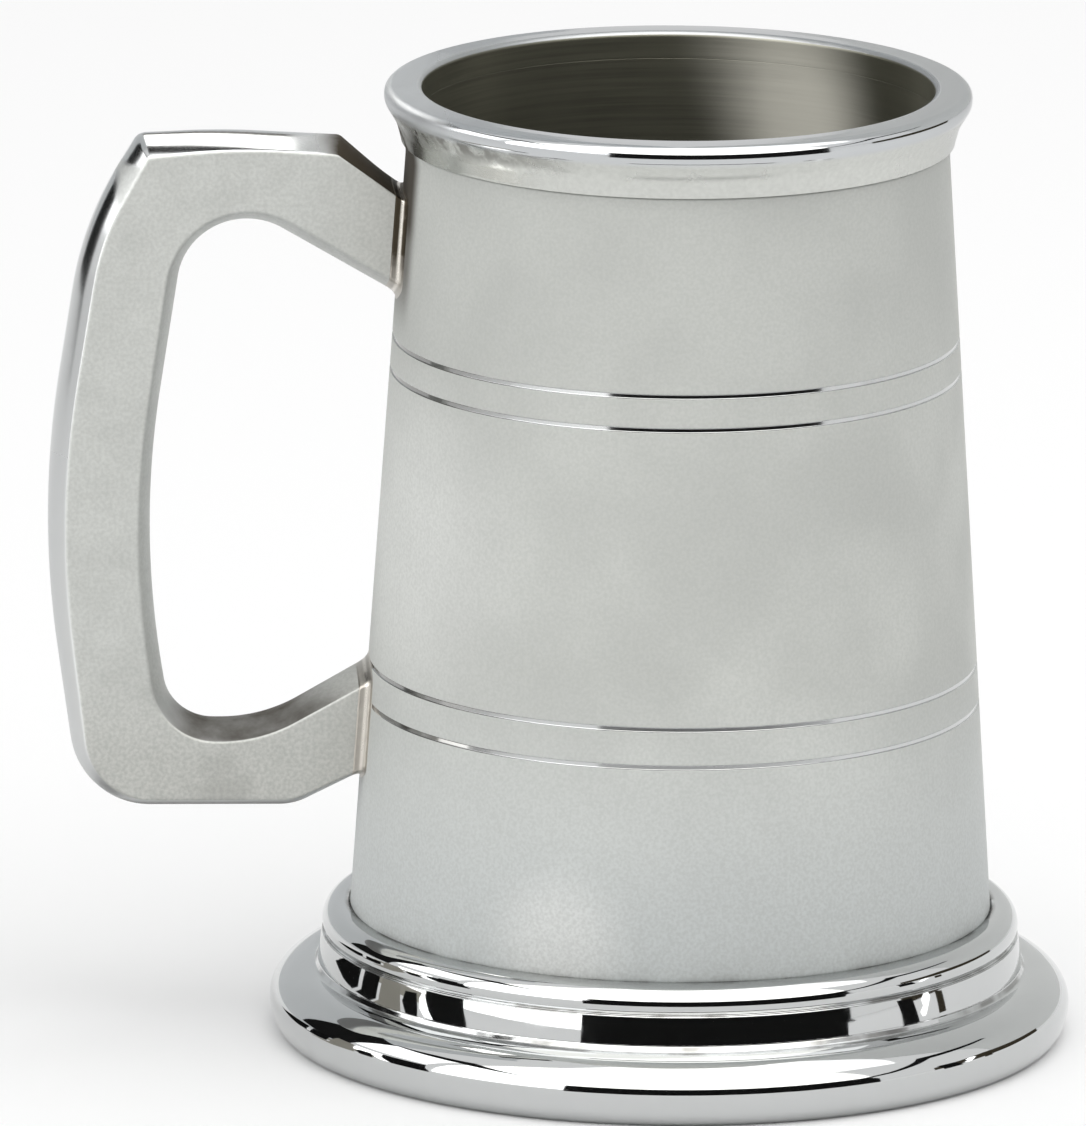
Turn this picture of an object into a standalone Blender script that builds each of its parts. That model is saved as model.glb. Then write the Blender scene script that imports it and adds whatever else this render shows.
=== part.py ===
"""Christening tankard: a tapered pewter drum with a moulded mouth rim and a hollow moulded foot.

The metal pieces are the drum, its floor, the mouth rim, the foot and the cast handle, and each joint
between them is made with solder. Lengths are in metres, +Z is up, the tankard stands on z = 0 and
the handle points along -X. Radii are measured from the drum's axis.
"""

import math

import bmesh
import bpy

# Whole tankard
TANKARD_HEIGHT = 0.1000
JOINT_GAP = 0.0003
TURNED_SEGMENTS = 64
ARC_STEP = math.radians(15.0)
HIDDEN_ARC_STEP = math.radians(30.0)
SHORTEST_RUN = 0.0001
BEND_TOLERANCE = 0.00003
SHARPEST_MITRE = 0.5
SHARP_EDGE = math.radians(28.0)

# Drum, a straight taper of thin metal
DRUM_MOUTH_RADIUS = 0.02754
DRUM_FOOT_RADIUS = 0.03320
DRUM_WALL = 0.0012
NECK_FLARE = 0.00025
NECK_FLARE_HEIGHT = 0.0015
SPIGOT_STEP = 0.00045
SPIGOT_LENGTH = 0.0029

# Two pairs of grooves round the drum
UPPER_GROOVE_HEIGHT = 0.0721
UPPER_GROOVE_SPACING = 0.00345
LOWER_GROOVE_HEIGHT = 0.0375
LOWER_GROOVE_SPACING = 0.0039
GROOVE_WIDTH = 0.0006
GROOVE_DEPTH = 0.00022

# Mouth rim
RIM_HEIGHT = 0.0058
LIP_RADIUS = 0.0303
LIP_HEIGHT = 0.0014
LIP_DRAFT = 0.00015
LIP_TOP_ROUND = 0.00035
LIP_UNDER_ROUND = 0.0006
LIP_SLOPE = math.radians(25.0)
RIM_NECK_PROUD = 0.0004
RIM_NECK_ROUND = 0.0030
MOUTH_EDGE_ROUND = 0.00035
RIM_SOLDER_HEIGHT = 0.0004

# Foot
FOOT_HEIGHT = 0.01341
BEAD_REACH = 0.0029
BEAD_ROUND = 0.00188
BEAD_TURN_UNDER = math.radians(33.0)
OVOLO_TOP_REACH = 0.0029
OVOLO_TOP_DROP = 0.00296
OVOLO_FOOT_REACH = 0.00325
OVOLO_BULGE = 0.00012
OVOLO_COVE = 0.0003
BASE_REACH = 0.0083
BASE_ROLL_WIDTH = 0.0043
BASE_ROLL_TOP = 0.00685
BASE_WIDEST_HEIGHT = 0.00335
REST_REACH = 0.0064
FOOT_WALL = 0.0016
SEAT_DEPTH = 0.0033
SHELF_THICKNESS = 0.0015
SHELF_REACH = 0.0026

# Floor and the solder that seals it
FLOOR_THICKNESS = 0.0018
SOLDER_LEG = 0.0012
SOLDER_HOLLOW = 0.35

# Handle: reaches are measured from the drum's wall at the middle of the grip, drops from the mouth
GRIP_MIDDLE_HEIGHT = 0.0545
GRIP_REACH = 0.0341
GRIP_WIDTH = 0.0077
GRIP_BOW = 0.100
HANDLE_THICKNESS = 0.0084
OUTER_CROWN = 0.0012
INNER_CROWN = 0.0015
CROWN_LAYERS = 8

UPPER_ROOT_DROP = 0.0112
UPPER_ROOT_DEPTH = 0.0088
UPPER_TOP_SLOPE = math.radians(34.3)
UPPER_UNDER_SLOPE = math.radians(30.0)
SHOULDER_REACH = 0.0051
SHOULDER_ROUND = 0.0015
CREST_REACH = 0.0145
CREST_DROP = 0.0058
CREST_ROUND = 0.080
TOP_CORNER_REACH = 0.0245
TOP_CORNER_DROP = 0.0062
TOP_CORNER_ROUND = 0.0006
TOP_CURVE_REACH = 0.0297
TOP_CURVE_DROP = 0.0147
TOP_CURVE_ROUND = 0.038
GAP_TOP_REACH = 0.0205
GAP_TOP_ROUND = 0.0087

LOWER_ROOT_FOOT = 0.0285
LOWER_ROOT_DEPTH = 0.0086
LOWER_TOP_SLOPE = math.radians(29.6)
LOWER_UNDER_SLOPE = math.radians(25.0)
HEEL_REACH = 0.0296
HEEL_HEIGHT = 0.0253
HEEL_ROUND = 0.0070
UNDERSIDE_REACH = 0.0088
UNDERSIDE_HEIGHT = 0.0253
UNDERSIDE_ROUND = 0.0060
GAP_FLOOR_REACH = 0.0122
GAP_FLOOR_HEIGHT = 0.0316
GAP_FLOOR_ROUND = 0.0070
GAP_HEEL_REACH = 0.0229
GAP_HEEL_ROUND = 0.0067
ROOT_BURIED = 0.0040

# Solder under the two ends of the handle
SOLDER_BED = 0.0006
SOLDER_PROUD = 0.0005

# What follows from the sizes above
DRUM_TAPER = (DRUM_FOOT_RADIUS - DRUM_MOUTH_RADIUS) / (TANKARD_HEIGHT - FOOT_HEIGHT)
RIM_JOINT_HEIGHT = TANKARD_HEIGHT - RIM_HEIGHT
SPIGOT_TOP = RIM_JOINT_HEIGHT + SPIGOT_LENGTH
DRUM_BOTTOM = FOOT_HEIGHT - SEAT_DEPTH
FLOOR_TOP = DRUM_BOTTOM + FLOOR_THICKNESS
FOOT_RADIUS = DRUM_FOOT_RADIUS + BASE_REACH
UPPER_ROOT_TOP = TANKARD_HEIGHT - UPPER_ROOT_DROP
UPPER_ROOT_FOOT = UPPER_ROOT_TOP - UPPER_ROOT_DEPTH
LOWER_ROOT_TOP = LOWER_ROOT_FOOT + LOWER_ROOT_DEPTH
CREST_HEIGHT = TANKARD_HEIGHT - CREST_DROP
TOP_CORNER_HEIGHT = TANKARD_HEIGHT - TOP_CORNER_DROP
TOP_CURVE_HEIGHT = TANKARD_HEIGHT - TOP_CURVE_DROP


def drum_radius(height):
    """Outside radius of the drum's taper at a height."""
    return DRUM_MOUTH_RADIUS + DRUM_TAPER * (TANKARD_HEIGHT - height)


def bore_radius(height):
    """Inside radius of the drum at a height."""
    return drum_radius(height) - DRUM_WALL


def arc(centre, radii, start, end, step=ARC_STEP):
    """Points (radius, height) on an elliptical arc between two angles in degrees, ends included."""
    steps = max(2, math.ceil(abs(math.radians(end - start)) / step))
    angles = [math.radians(start + (end - start) * i / steps) for i in range(steps + 1)]
    return [(centre[0] + radii[0] * math.cos(a), centre[1] + radii[1] * math.sin(a)) for a in angles]


def bulged(start, end, bulge, steps=5):
    """Points from start to end on a shallow curve that stands bulge outside the straight line."""
    points = []
    for i in range(steps + 1):
        share = i / steps
        swell = 4.0 * bulge * share * (1.0 - share)
        radius = start[0] + (end[0] - start[0]) * share + swell
        points.append((radius, start[1] + (end[1] - start[1]) * share))
    return points


def half_turn_at(before, after):
    """Half of the turn from one heading to the next, positive to the left."""
    return ((after - before + math.pi) % math.tau - math.pi) / 2.0


def rounded(corners):
    """Points along an open path of corners (x, z, rounding radius), each rounded by a tangent arc.

    Where two roundings need more than the straight run between them, both are drawn in alike.
    """
    runs = [math.dist(a[:2], b[:2]) for a, b in zip(corners, corners[1:])]
    headings = [math.atan2(b[1] - a[1], b[0] - a[0]) for a, b in zip(corners, corners[1:])]
    turns = [half_turn_at(a, b) for a, b in zip(headings, headings[1:])]
    turns = [0.0] + turns + [0.0]
    needed = [corner[2] * math.tan(abs(turn)) for corner, turn in zip(corners, turns)]
    points = [corners[0][:2]]
    for i in range(1, len(corners) - 1):
        x, z, radius = corners[i]
        if needed[i] < SHORTEST_RUN:
            points.append((x, z))
            continue
        share = min(1.0, runs[i - 1] / (needed[i - 1] + needed[i]), runs[i] / (needed[i] + needed[i + 1]))
        radius *= share
        heading = headings[i - 1]
        side = heading + math.copysign(math.pi / 2.0, turns[i])
        centre_x = x - needed[i] * share * math.cos(heading) + radius * math.cos(side)
        centre_z = z - needed[i] * share * math.sin(heading) + radius * math.sin(side)
        steps = max(2, math.ceil(abs(turns[i]) / math.acos(1.0 - BEND_TOLERANCE / radius)))
        for k in range(steps + 1):
            angle = side + math.pi + 2.0 * turns[i] * k / steps
            point = (centre_x + radius * math.cos(angle), centre_z + radius * math.sin(angle))
            if math.dist(point, points[-1]) > SHORTEST_RUN:
                points.append(point)
    points.append(corners[-1][:2])
    return points


def metal(name, colour, roughness):
    """A metal material of one colour and roughness."""
    material = bpy.data.materials.new(name)
    material.use_nodes = True
    shader = material.node_tree.nodes["Principled BSDF"]
    shader.inputs["Base Color"].default_value = (*colour, 1.0)
    shader.inputs["Metallic"].default_value = 1.0
    shader.inputs["Roughness"].default_value = roughness
    return material


def add_object(name, mesh_maker, parent):
    """Put a bmesh into the scene as a named object on the drum's axis."""
    bmesh.ops.recalc_face_normals(mesh_maker, faces=mesh_maker.faces)
    mesh = bpy.data.meshes.new(name)
    mesh_maker.to_mesh(mesh)
    mesh_maker.free()
    mesh.shade_smooth()
    mesh.set_sharp_from_angle(angle=SHARP_EDGE)
    thing = bpy.data.objects.new(name, mesh)
    thing.parent = parent
    bpy.context.scene.collection.objects.link(thing)
    return thing


def turned(name, outline, parent):
    """A closed outline of (radius, height) points turned round the drum's axis."""
    maker = bmesh.new()
    verts = [maker.verts.new((radius, 0.0, height)) for radius, height in outline]
    edges = [maker.edges.new(pair) for pair in zip(verts, verts[1:] + verts[:1])]
    bmesh.ops.spin(maker, geom=verts + edges, cent=(0.0, 0.0, 0.0), axis=(0.0, 0.0, 1.0),
                   angle=math.tau, steps=TURNED_SEGMENTS, use_merge=True)
    return add_object(name, maker, parent)


def tapered_plug(name, proud, bottom, top, parent):
    """A solid plug that stands a set distance proud of the drum's taper, between two heights."""
    maker = bmesh.new()
    bmesh.ops.create_cone(maker, cap_ends=True, segments=TURNED_SEGMENTS,
                          radius1=drum_radius(bottom) + proud, radius2=drum_radius(top) + proud,
                          depth=top - bottom)
    bmesh.ops.translate(maker, vec=(0.0, 0.0, (bottom + top) / 2.0), verts=maker.verts)
    return add_object(name, maker, parent)


def shape_with(thing, tool, operation):
    """Cut or trim a thing by a hidden tool."""
    tool.hide_render = True
    tool.display_type = "WIRE"
    boolean = thing.modifiers.new(tool.name, "BOOLEAN")
    boolean.operation = operation
    boolean.solver = "EXACT"
    boolean.object = tool


def drum_outline():
    """The drum from its spigot down the outside, past the grooves, and back up the bore."""
    spigot_radius = drum_radius(RIM_JOINT_HEIGHT) - SPIGOT_STEP
    shoulder = RIM_JOINT_HEIGHT - JOINT_GAP
    outline = [(spigot_radius, SPIGOT_TOP), (spigot_radius, shoulder)]
    outline += bulged((drum_radius(shoulder) + NECK_FLARE, shoulder),
                      (drum_radius(shoulder - NECK_FLARE_HEIGHT), shoulder - NECK_FLARE_HEIGHT),
                      -NECK_FLARE / 4.0, steps=3)
    for pair, spacing in ((UPPER_GROOVE_HEIGHT, UPPER_GROOVE_SPACING),
                          (LOWER_GROOVE_HEIGHT, LOWER_GROOVE_SPACING)):
        for height in (pair + spacing / 2.0, pair - spacing / 2.0):
            top = height + GROOVE_WIDTH / 2.0
            bottom = height - GROOVE_WIDTH / 2.0
            outline += bulged((drum_radius(top), top), (drum_radius(bottom), bottom),
                              -GROOVE_DEPTH, steps=4)
    outline += [(drum_radius(DRUM_BOTTOM), DRUM_BOTTOM), (bore_radius(DRUM_BOTTOM), DRUM_BOTTOM)]
    outline.append((bore_radius(SPIGOT_TOP), SPIGOT_TOP))
    return outline


def rim_outline():
    """The mouth rim: over the lip, down the slope below it, and up through the socket and bore."""
    bore = bore_radius(TANKARD_HEIGHT)
    socket = drum_radius(RIM_JOINT_HEIGHT) - SPIGOT_STEP + JOINT_GAP
    socket_top = SPIGOT_TOP + 2.0 * JOINT_GAP + RIM_SOLDER_HEIGHT
    neck = drum_radius(RIM_JOINT_HEIGHT) + RIM_NECK_PROUD
    lip_foot = TANKARD_HEIGHT - LIP_HEIGHT
    slope_end = lip_foot - (LIP_RADIUS - neck) / math.tan(LIP_SLOPE)
    outline = rounded([
        (bore_radius(socket_top), socket_top, 0.0),
        (bore, TANKARD_HEIGHT, MOUTH_EDGE_ROUND),
        (LIP_RADIUS - LIP_DRAFT, TANKARD_HEIGHT, LIP_TOP_ROUND),
        (LIP_RADIUS, lip_foot, LIP_UNDER_ROUND),
        (neck, slope_end, RIM_NECK_ROUND),
        (neck, RIM_JOINT_HEIGHT, 0.0),
    ])
    return outline + [(socket, RIM_JOINT_HEIGHT), (socket, socket_top)]


def foot_outline():
    """The foot: bead, ovolo and base roll outside, then the hollow underside, the shelf and the seat."""
    foot = DRUM_FOOT_RADIUS
    seat_top = DRUM_BOTTOM - JOINT_GAP
    shelf_under = seat_top - SHELF_THICKNESS
    shelf_radius = bore_radius(DRUM_BOTTOM) - SHELF_REACH
    bead_centre = (foot + BEAD_REACH - BEAD_ROUND, FOOT_HEIGHT - BEAD_ROUND)
    ovolo_top = (foot + OVOLO_TOP_REACH, FOOT_HEIGHT - OVOLO_TOP_DROP)
    ovolo_end = (foot + OVOLO_FOOT_REACH, BASE_ROLL_TOP + 2.0 * OVOLO_COVE)
    roll_centre = (FOOT_RADIUS - BASE_ROLL_WIDTH, BASE_WIDEST_HEIGHT)
    roll_rise = BASE_ROLL_TOP - BASE_WIDEST_HEIGHT
    rest_outer = foot + REST_REACH
    rest_inner = rest_outer - FOOT_WALL
    turn_in = FOOT_RADIUS - rest_outer
    outline = [(drum_radius(FOOT_HEIGHT) + JOINT_GAP, FOOT_HEIGHT)]
    outline += arc(bead_centre, (BEAD_ROUND, BEAD_ROUND), 90.0, -math.degrees(BEAD_TURN_UNDER))
    outline += bulged(ovolo_top, ovolo_end, OVOLO_BULGE, steps=4)
    outline.append((ovolo_end[0] + OVOLO_COVE, BASE_ROLL_TOP))
    outline += arc(roll_centre, (BASE_ROLL_WIDTH, roll_rise), 90.0, 0.0)
    outline += arc((rest_outer, BASE_WIDEST_HEIGHT), (turn_in, BASE_WIDEST_HEIGHT), 0.0, -90.0)[1:]
    outline += arc((rest_inner, BASE_WIDEST_HEIGHT), (turn_in, BASE_WIDEST_HEIGHT), -90.0, 0.0,
                   HIDDEN_ARC_STEP)
    outline += arc(roll_centre, (BASE_ROLL_WIDTH - FOOT_WALL, roll_rise - FOOT_WALL), 0.0, 90.0,
                   HIDDEN_ARC_STEP)[1:]
    outline.append((ovolo_end[0] - FOOT_WALL, ovolo_end[1] - FOOT_WALL))
    outline.append((ovolo_top[0] - FOOT_WALL, shelf_under))
    outline += [(shelf_radius, shelf_under), (shelf_radius, seat_top)]
    outline.append((drum_radius(seat_top) + JOINT_GAP, seat_top))
    return outline


def solder_fillet(corner, inward, upward):
    """Outline of a ring of solder in a corner: two straight legs and a hollow face."""
    tip_across = (corner[0] + inward * SOLDER_LEG, corner[1])
    tip_along = (corner[0], corner[1] + upward * SOLDER_LEG)
    throat = SOLDER_HOLLOW * SOLDER_LEG
    hollow = (corner[0] + inward * throat, corner[1] + upward * throat)
    return [corner, tip_across, hollow, tip_along]


def handle_outline():
    """Flat face of the handle as a closed outline of (x, z, crown) points, -X being outward."""
    wall = drum_radius(GRIP_MIDDLE_HEIGHT)

    def from_root(height, slope, reach):
        """Height at a reach on a straight edge that leaves the drum at a height and slope."""
        return height + (wall + reach - drum_radius(height)) * math.tan(slope)

    grip_inner = GRIP_REACH - GRIP_WIDTH
    outside = [
        (-ROOT_BURIED, from_root(UPPER_ROOT_TOP, UPPER_TOP_SLOPE, -ROOT_BURIED), 0.0),
        (SHOULDER_REACH, from_root(UPPER_ROOT_TOP, UPPER_TOP_SLOPE, SHOULDER_REACH), SHOULDER_ROUND),
        (CREST_REACH, CREST_HEIGHT, CREST_ROUND),
        (TOP_CORNER_REACH, TOP_CORNER_HEIGHT, TOP_CORNER_ROUND),
        (TOP_CURVE_REACH, TOP_CURVE_HEIGHT, TOP_CURVE_ROUND),
        (GRIP_REACH, GRIP_MIDDLE_HEIGHT, GRIP_BOW),
        (HEEL_REACH, HEEL_HEIGHT, HEEL_ROUND),
        (UNDERSIDE_REACH, UNDERSIDE_HEIGHT, UNDERSIDE_ROUND),
        (-ROOT_BURIED, from_root(LOWER_ROOT_FOOT, -LOWER_UNDER_SLOPE, -ROOT_BURIED), 0.0),
    ]
    inside = [
        (-ROOT_BURIED, from_root(LOWER_ROOT_TOP, -LOWER_TOP_SLOPE, -ROOT_BURIED), 0.0),
        (GAP_FLOOR_REACH, GAP_FLOOR_HEIGHT, GAP_FLOOR_ROUND),
        (GAP_HEEL_REACH, GAP_FLOOR_HEIGHT, GAP_HEEL_ROUND),
        (grip_inner, GRIP_MIDDLE_HEIGHT, GRIP_BOW),
        (GAP_TOP_REACH, from_root(UPPER_ROOT_FOOT, UPPER_UNDER_SLOPE, GAP_TOP_REACH), GAP_TOP_ROUND),
        (-ROOT_BURIED, from_root(UPPER_ROOT_FOOT, UPPER_UNDER_SLOPE, -ROOT_BURIED), 0.0),
    ]
    outline = [(-wall - reach, height, OUTER_CROWN) for reach, height in rounded(outside)]
    outline += [(-wall - reach, height, INNER_CROWN) for reach, height in rounded(inside)]
    return outline


def spread(outline, distances):
    """Move each point of a closed outline (x, z, ...) outward by its own distance, mitred."""
    moved = []
    count = len(outline)
    for i in range(count):
        before = outline[i - 1]
        point = outline[i]
        after = outline[(i + 1) % count]
        first = math.atan2(point[1] - before[1], point[0] - before[0])
        second = math.atan2(after[1] - point[1], after[0] - point[0])
        half_turn = half_turn_at(first, second)
        normal = first + half_turn - math.pi / 2.0
        reach = distances[i] / max(math.cos(half_turn), SHARPEST_MITRE)
        moved.append((point[0] + reach * math.cos(normal), point[1] + reach * math.sin(normal)))
    return moved


def handle_blank(name, proud, parent):
    """The handle's flat plate with crowned edges, its ends still running into the drum."""
    outline = handle_outline()
    maker = bmesh.new()
    layers = []
    for i in range(CROWN_LAYERS):
        across = -1.0 + 2.0 * i / (CROWN_LAYERS - 1)
        y = across * (HANDLE_THICKNESS / 2.0 + proud)
        distances = [point[2] * (1.0 - across * across) + proud for point in outline]
        layers.append([maker.verts.new((x, y, z)) for x, z in spread(outline, distances)])
    count = len(outline)
    for near, far in zip(layers, layers[1:]):
        for i in range(count):
            j = (i + 1) % count
            maker.faces.new((near[i], near[j], far[j], far[i]))
    for ring in (layers[0], layers[-1]):
        maker.faces.new(ring)
    maker.normal_update()
    bmesh.ops.triangulate(maker, faces=[face for face in maker.faces if len(face.verts) > 4])
    return add_object(name, maker, parent)


def make_drum(parent, material):
    drum = turned("drum", drum_outline(), parent)
    drum.data.materials.append(material)


def make_mouth_rim(parent, material, solder):
    rim = turned("mouth_rim", rim_outline(), parent)
    rim.data.materials.append(material)
    low = SPIGOT_TOP + JOINT_GAP
    high = low + RIM_SOLDER_HEIGHT
    inner = bore_radius(low)
    outer = drum_radius(RIM_JOINT_HEIGHT) - SPIGOT_STEP
    ring = turned("rim_solder", [(outer, high), (outer, low), (inner, low), (inner, high)], parent)
    ring.data.materials.append(solder)


def make_floor(parent, material, solder):
    radius = bore_radius(FLOOR_TOP) - JOINT_GAP
    maker = bmesh.new()
    bmesh.ops.create_cone(maker, cap_ends=True, segments=TURNED_SEGMENTS,
                          radius1=radius, radius2=radius, depth=FLOOR_THICKNESS)
    bmesh.ops.translate(maker, vec=(0.0, 0.0, DRUM_BOTTOM + FLOOR_THICKNESS / 2.0), verts=maker.verts)
    floor = add_object("floor_disc", maker, parent)
    floor.data.materials.append(material)
    inside = (bore_radius(FLOOR_TOP + JOINT_GAP + SOLDER_LEG) - JOINT_GAP, FLOOR_TOP + JOINT_GAP)
    ring = turned("floor_solder", solder_fillet(inside, -1.0, 1.0), parent)
    ring.data.materials.append(solder)


def make_foot(parent, material, solder):
    foot = turned("foot_moulding", foot_outline(), parent)
    foot.data.materials.append(material)
    shelf_radius = bore_radius(DRUM_BOTTOM) - SHELF_REACH
    under = (shelf_radius - JOINT_GAP, DRUM_BOTTOM - JOINT_GAP)
    ring = turned("foot_solder", solder_fillet(under, -1.0, -1.0), parent)
    ring.data.materials.append(solder)


def make_handle(parent, material, solder):
    bed_outside = JOINT_GAP + SOLDER_BED
    seat = tapered_plug("handle_seat_tool", bed_outside + JOINT_GAP, 0.0, TANKARD_HEIGHT, parent)
    handle = handle_blank("handle", 0.0, parent)
    handle.data.materials.append(material)
    shape_with(handle, seat, "DIFFERENCE")
    middle = (UPPER_ROOT_FOOT + LOWER_ROOT_TOP) / 2.0
    for name, bottom, top in (("upper_handle_solder", middle, RIM_JOINT_HEIGHT),
                              ("lower_handle_solder", FOOT_HEIGHT, middle)):
        bed = handle_blank(name, SOLDER_PROUD, parent)
        bed.data.materials.append(solder)
        shell = [(drum_radius(top) + bed_outside, top), (drum_radius(bottom) + bed_outside, bottom),
                 (drum_radius(bottom) + JOINT_GAP, bottom), (drum_radius(top) + JOINT_GAP, top)]
        shape_with(bed, turned(name + "_tool", shell, parent), "INTERSECT")


def main():
    for thing in list(bpy.data.objects):
        bpy.data.objects.remove(thing)
    handle_end = min(x - crown for x, _, crown in handle_outline())
    axis = bpy.data.objects.new("drum_axis", None)
    axis.location = (-(handle_end + FOOT_RADIUS) / 2.0, 0.0, 0.0)
    bpy.context.scene.collection.objects.link(axis)
    satin = metal("satin_pewter", (0.66, 0.66, 0.64), 0.42)
    polished = metal("polished_pewter", (0.80, 0.80, 0.79), 0.08)
    rim_metal = metal("polished_rim_pewter", (0.78, 0.78, 0.77), 0.12)
    cast = metal("cast_pewter", (0.62, 0.61, 0.58), 0.38)
    dull = metal("dull_floor_pewter", (0.42, 0.42, 0.39), 0.5)
    solder = metal("solder", (0.55, 0.53, 0.49), 0.35)
    make_drum(axis, satin)
    make_mouth_rim(axis, rim_metal, solder)
    make_floor(axis, dull, solder)
    make_foot(axis, polished, solder)
    make_handle(axis, cast, solder)


main()
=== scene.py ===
"""Looks of the christening tankard: its visible surfaces, their finishes and a plain studio.

Lengths are metres in the packed part's frame: +Z is up, the tankard stands on z = 0 and the handle
points along -X. A radius or a reach is measured from the drum's axis.
"""

import math
from functools import cached_property

import bpy
import numpy as np
from bpy.props import FloatProperty, FloatVectorProperty, PointerProperty
from mathutils import Matrix, Vector


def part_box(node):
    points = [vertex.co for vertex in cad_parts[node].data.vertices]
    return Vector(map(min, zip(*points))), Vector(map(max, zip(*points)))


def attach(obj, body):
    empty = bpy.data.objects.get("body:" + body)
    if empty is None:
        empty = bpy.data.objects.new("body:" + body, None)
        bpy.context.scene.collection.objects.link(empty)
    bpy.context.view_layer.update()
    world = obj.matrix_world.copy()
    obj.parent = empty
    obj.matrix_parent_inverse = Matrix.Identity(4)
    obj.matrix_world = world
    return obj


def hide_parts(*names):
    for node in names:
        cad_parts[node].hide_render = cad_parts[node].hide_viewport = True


bl_info = {
    "name": "Christening Tankard",
    "version": (1, 0, 0),
    "blender": (4, 5, 0),
    "location": "3D View > Sidebar > Tankard",
    "description": "Makes the surfaces and finishes of a pewter christening tankard",
    "category": "Object",
}

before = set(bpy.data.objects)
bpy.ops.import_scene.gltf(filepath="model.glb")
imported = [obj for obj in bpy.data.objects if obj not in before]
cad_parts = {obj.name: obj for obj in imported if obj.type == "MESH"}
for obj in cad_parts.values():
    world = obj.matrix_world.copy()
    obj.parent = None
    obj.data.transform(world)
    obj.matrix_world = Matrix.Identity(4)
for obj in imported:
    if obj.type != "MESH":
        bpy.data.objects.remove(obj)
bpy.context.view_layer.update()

BODY = "root"
MM = 0.001

# Places that come from the packed part
DRUM_LOW, DRUM_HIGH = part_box("drum")
RIM_LOW, RIM_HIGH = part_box("mouth_rim")
FOOT_LOW, FOOT_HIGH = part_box("foot_moulding")
HANDLE_LOW, HANDLE_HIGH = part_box("handle")
AXIS_X = (DRUM_LOW[0] + DRUM_HIGH[0]) / 2.0
DRUM_BOTTOM = DRUM_LOW[2]
DRUM_BOTTOM_RADIUS = (DRUM_HIGH[0] - DRUM_LOW[0]) / 2.0
SPIGOT_TOP = DRUM_HIGH[2]
RIM_JOINT = RIM_LOW[2]
MOUTH_HEIGHT = RIM_HIGH[2]
LIP_RADIUS = (RIM_HIGH[0] - RIM_LOW[0]) / 2.0
FOOT_HEIGHT = FOOT_HIGH[2]
FOOT_RADIUS = (FOOT_HIGH[0] - FOOT_LOW[0]) / 2.0
HANDLE_HALF = (HANDLE_HIGH[1] - HANDLE_LOW[1]) / 2.0
FLOOR_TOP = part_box("floor_disc")[1][2]
UPPER_SOLDER_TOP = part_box("upper_handle_solder")[1][2]

# Guessed sizes of what the photograph doesn't show, as in the packed part
SPIGOT_STEP = 0.45 * MM
SHELF_REACH = 2.6 * MM
SHELF_THICKNESS = 1.5 * MM
JOINT_GAP = 0.3 * MM

# How the surfaces are divided: the distance of a guard point from its corner, the steps round a
# hidden ring, and the rows along a straight end of the handle
GUARD = 0.03 * MM
HIDDEN_SEGMENTS = 180
END_ROWS = 16


def length(name, millimetres, description):
    """A length property with its default in millimetres."""
    return FloatProperty(name=name, description=description, default=millimetres * MM, min=0.0,
                         precision=5, unit="LENGTH", subtype="DISTANCE")


def number(name, value, description, **details):
    """A property for a number that isn't a length."""
    return FloatProperty(name=name, description=description, default=value, **details)


def tone(name, colour, description):
    """A colour property."""
    return FloatVectorProperty(name=name, description=description, default=colour, size=3,
                               min=0.0, max=1.0, subtype="COLOR")


class DrumSizes(bpy.types.PropertyGroup):
    """Sizes of the drum."""

    taper: number("Taper", 0.06537, "Gain in radius for each unit of height, downwards", precision=5)
    wall: length("Wall", 1.2, "Thickness of the drum's metal")
    groove_width: length("Groove width", 0.62, "Width of each turned groove")
    groove_depth: length("Groove depth", 0.16, "Depth of each turned groove")
    upper_grooves: length("Upper grooves", 72.07, "Height of the middle of the upper pair of grooves")
    upper_spacing: length("Upper spacing", 3.45, "Distance between the two upper grooves")
    lower_grooves: length("Lower grooves", 37.5, "Height of the middle of the lower pair of grooves")
    lower_spacing: length("Lower spacing", 3.91, "Distance between the two lower grooves")
    neck_flare: length("Neck flare", 0.25, "How far the drum flares out below the mouth rim")

    def radius_at(self, height):
        """Outside radius at a height: the radius at the bottom less the taper's share."""
        return DRUM_BOTTOM_RADIUS - self.taper * (height - DRUM_BOTTOM)

    def bore_at(self, height):
        """Inside radius at a height."""
        return self.radius_at(height) - self.wall


class RimSizes(bpy.types.PropertyGroup):
    """Sizes of the mouth rim."""

    lip_height: length("Lip height", 1.55, "Height of the lip's rolled edge")
    lip_draft: length("Lip draft", 0.05, "How much narrower the lip is at its top edge")
    lip_round: length("Lip rounding", 0.95, "Rounding of the lip's outer edge")
    mouth_round: length("Mouth rounding", 0.6, "Rounding of the rim's inner edge")
    neck_radius: length("Neck radius", 28.42, "Radius where the rim meets the drum")
    neck_height: length("Neck height", 0.5, "Height of the rim's narrowest band")


class FootSizes(bpy.types.PropertyGroup):
    """Sizes of the foot."""

    bead_round: length("Bead rounding", 1.88, "Radius of the rounded bead at the top of the foot")
    bead_reach: length("Bead reach", 2.9, "How far the bead stands out from the drum")
    ovolo_reach: length("Ovolo reach", 2.9, "How far the top of the ovolo stands out from the drum")
    ovolo_spread: length("Ovolo spread", 0.42, "Gain in radius from the top of the ovolo to its bottom")
    ovolo_drop: length("Ovolo drop", 2.96, "Depth of the ovolo's top edge below the foot's top")
    roll_width: length("Roll width", 4.3, "Width of the base roll, from its middle to its widest point")
    roll_top: length("Roll top", 6.85, "Height of the top of the base roll")
    roll_widest: length("Roll widest", 3.35, "Height at which the base roll is widest")
    rest_width: length("Rest width", 1.9, "How far the resting ring lies inside the widest point")
    wall: length("Wall", 1.6, "Thickness of the hollow foot's metal")


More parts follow.
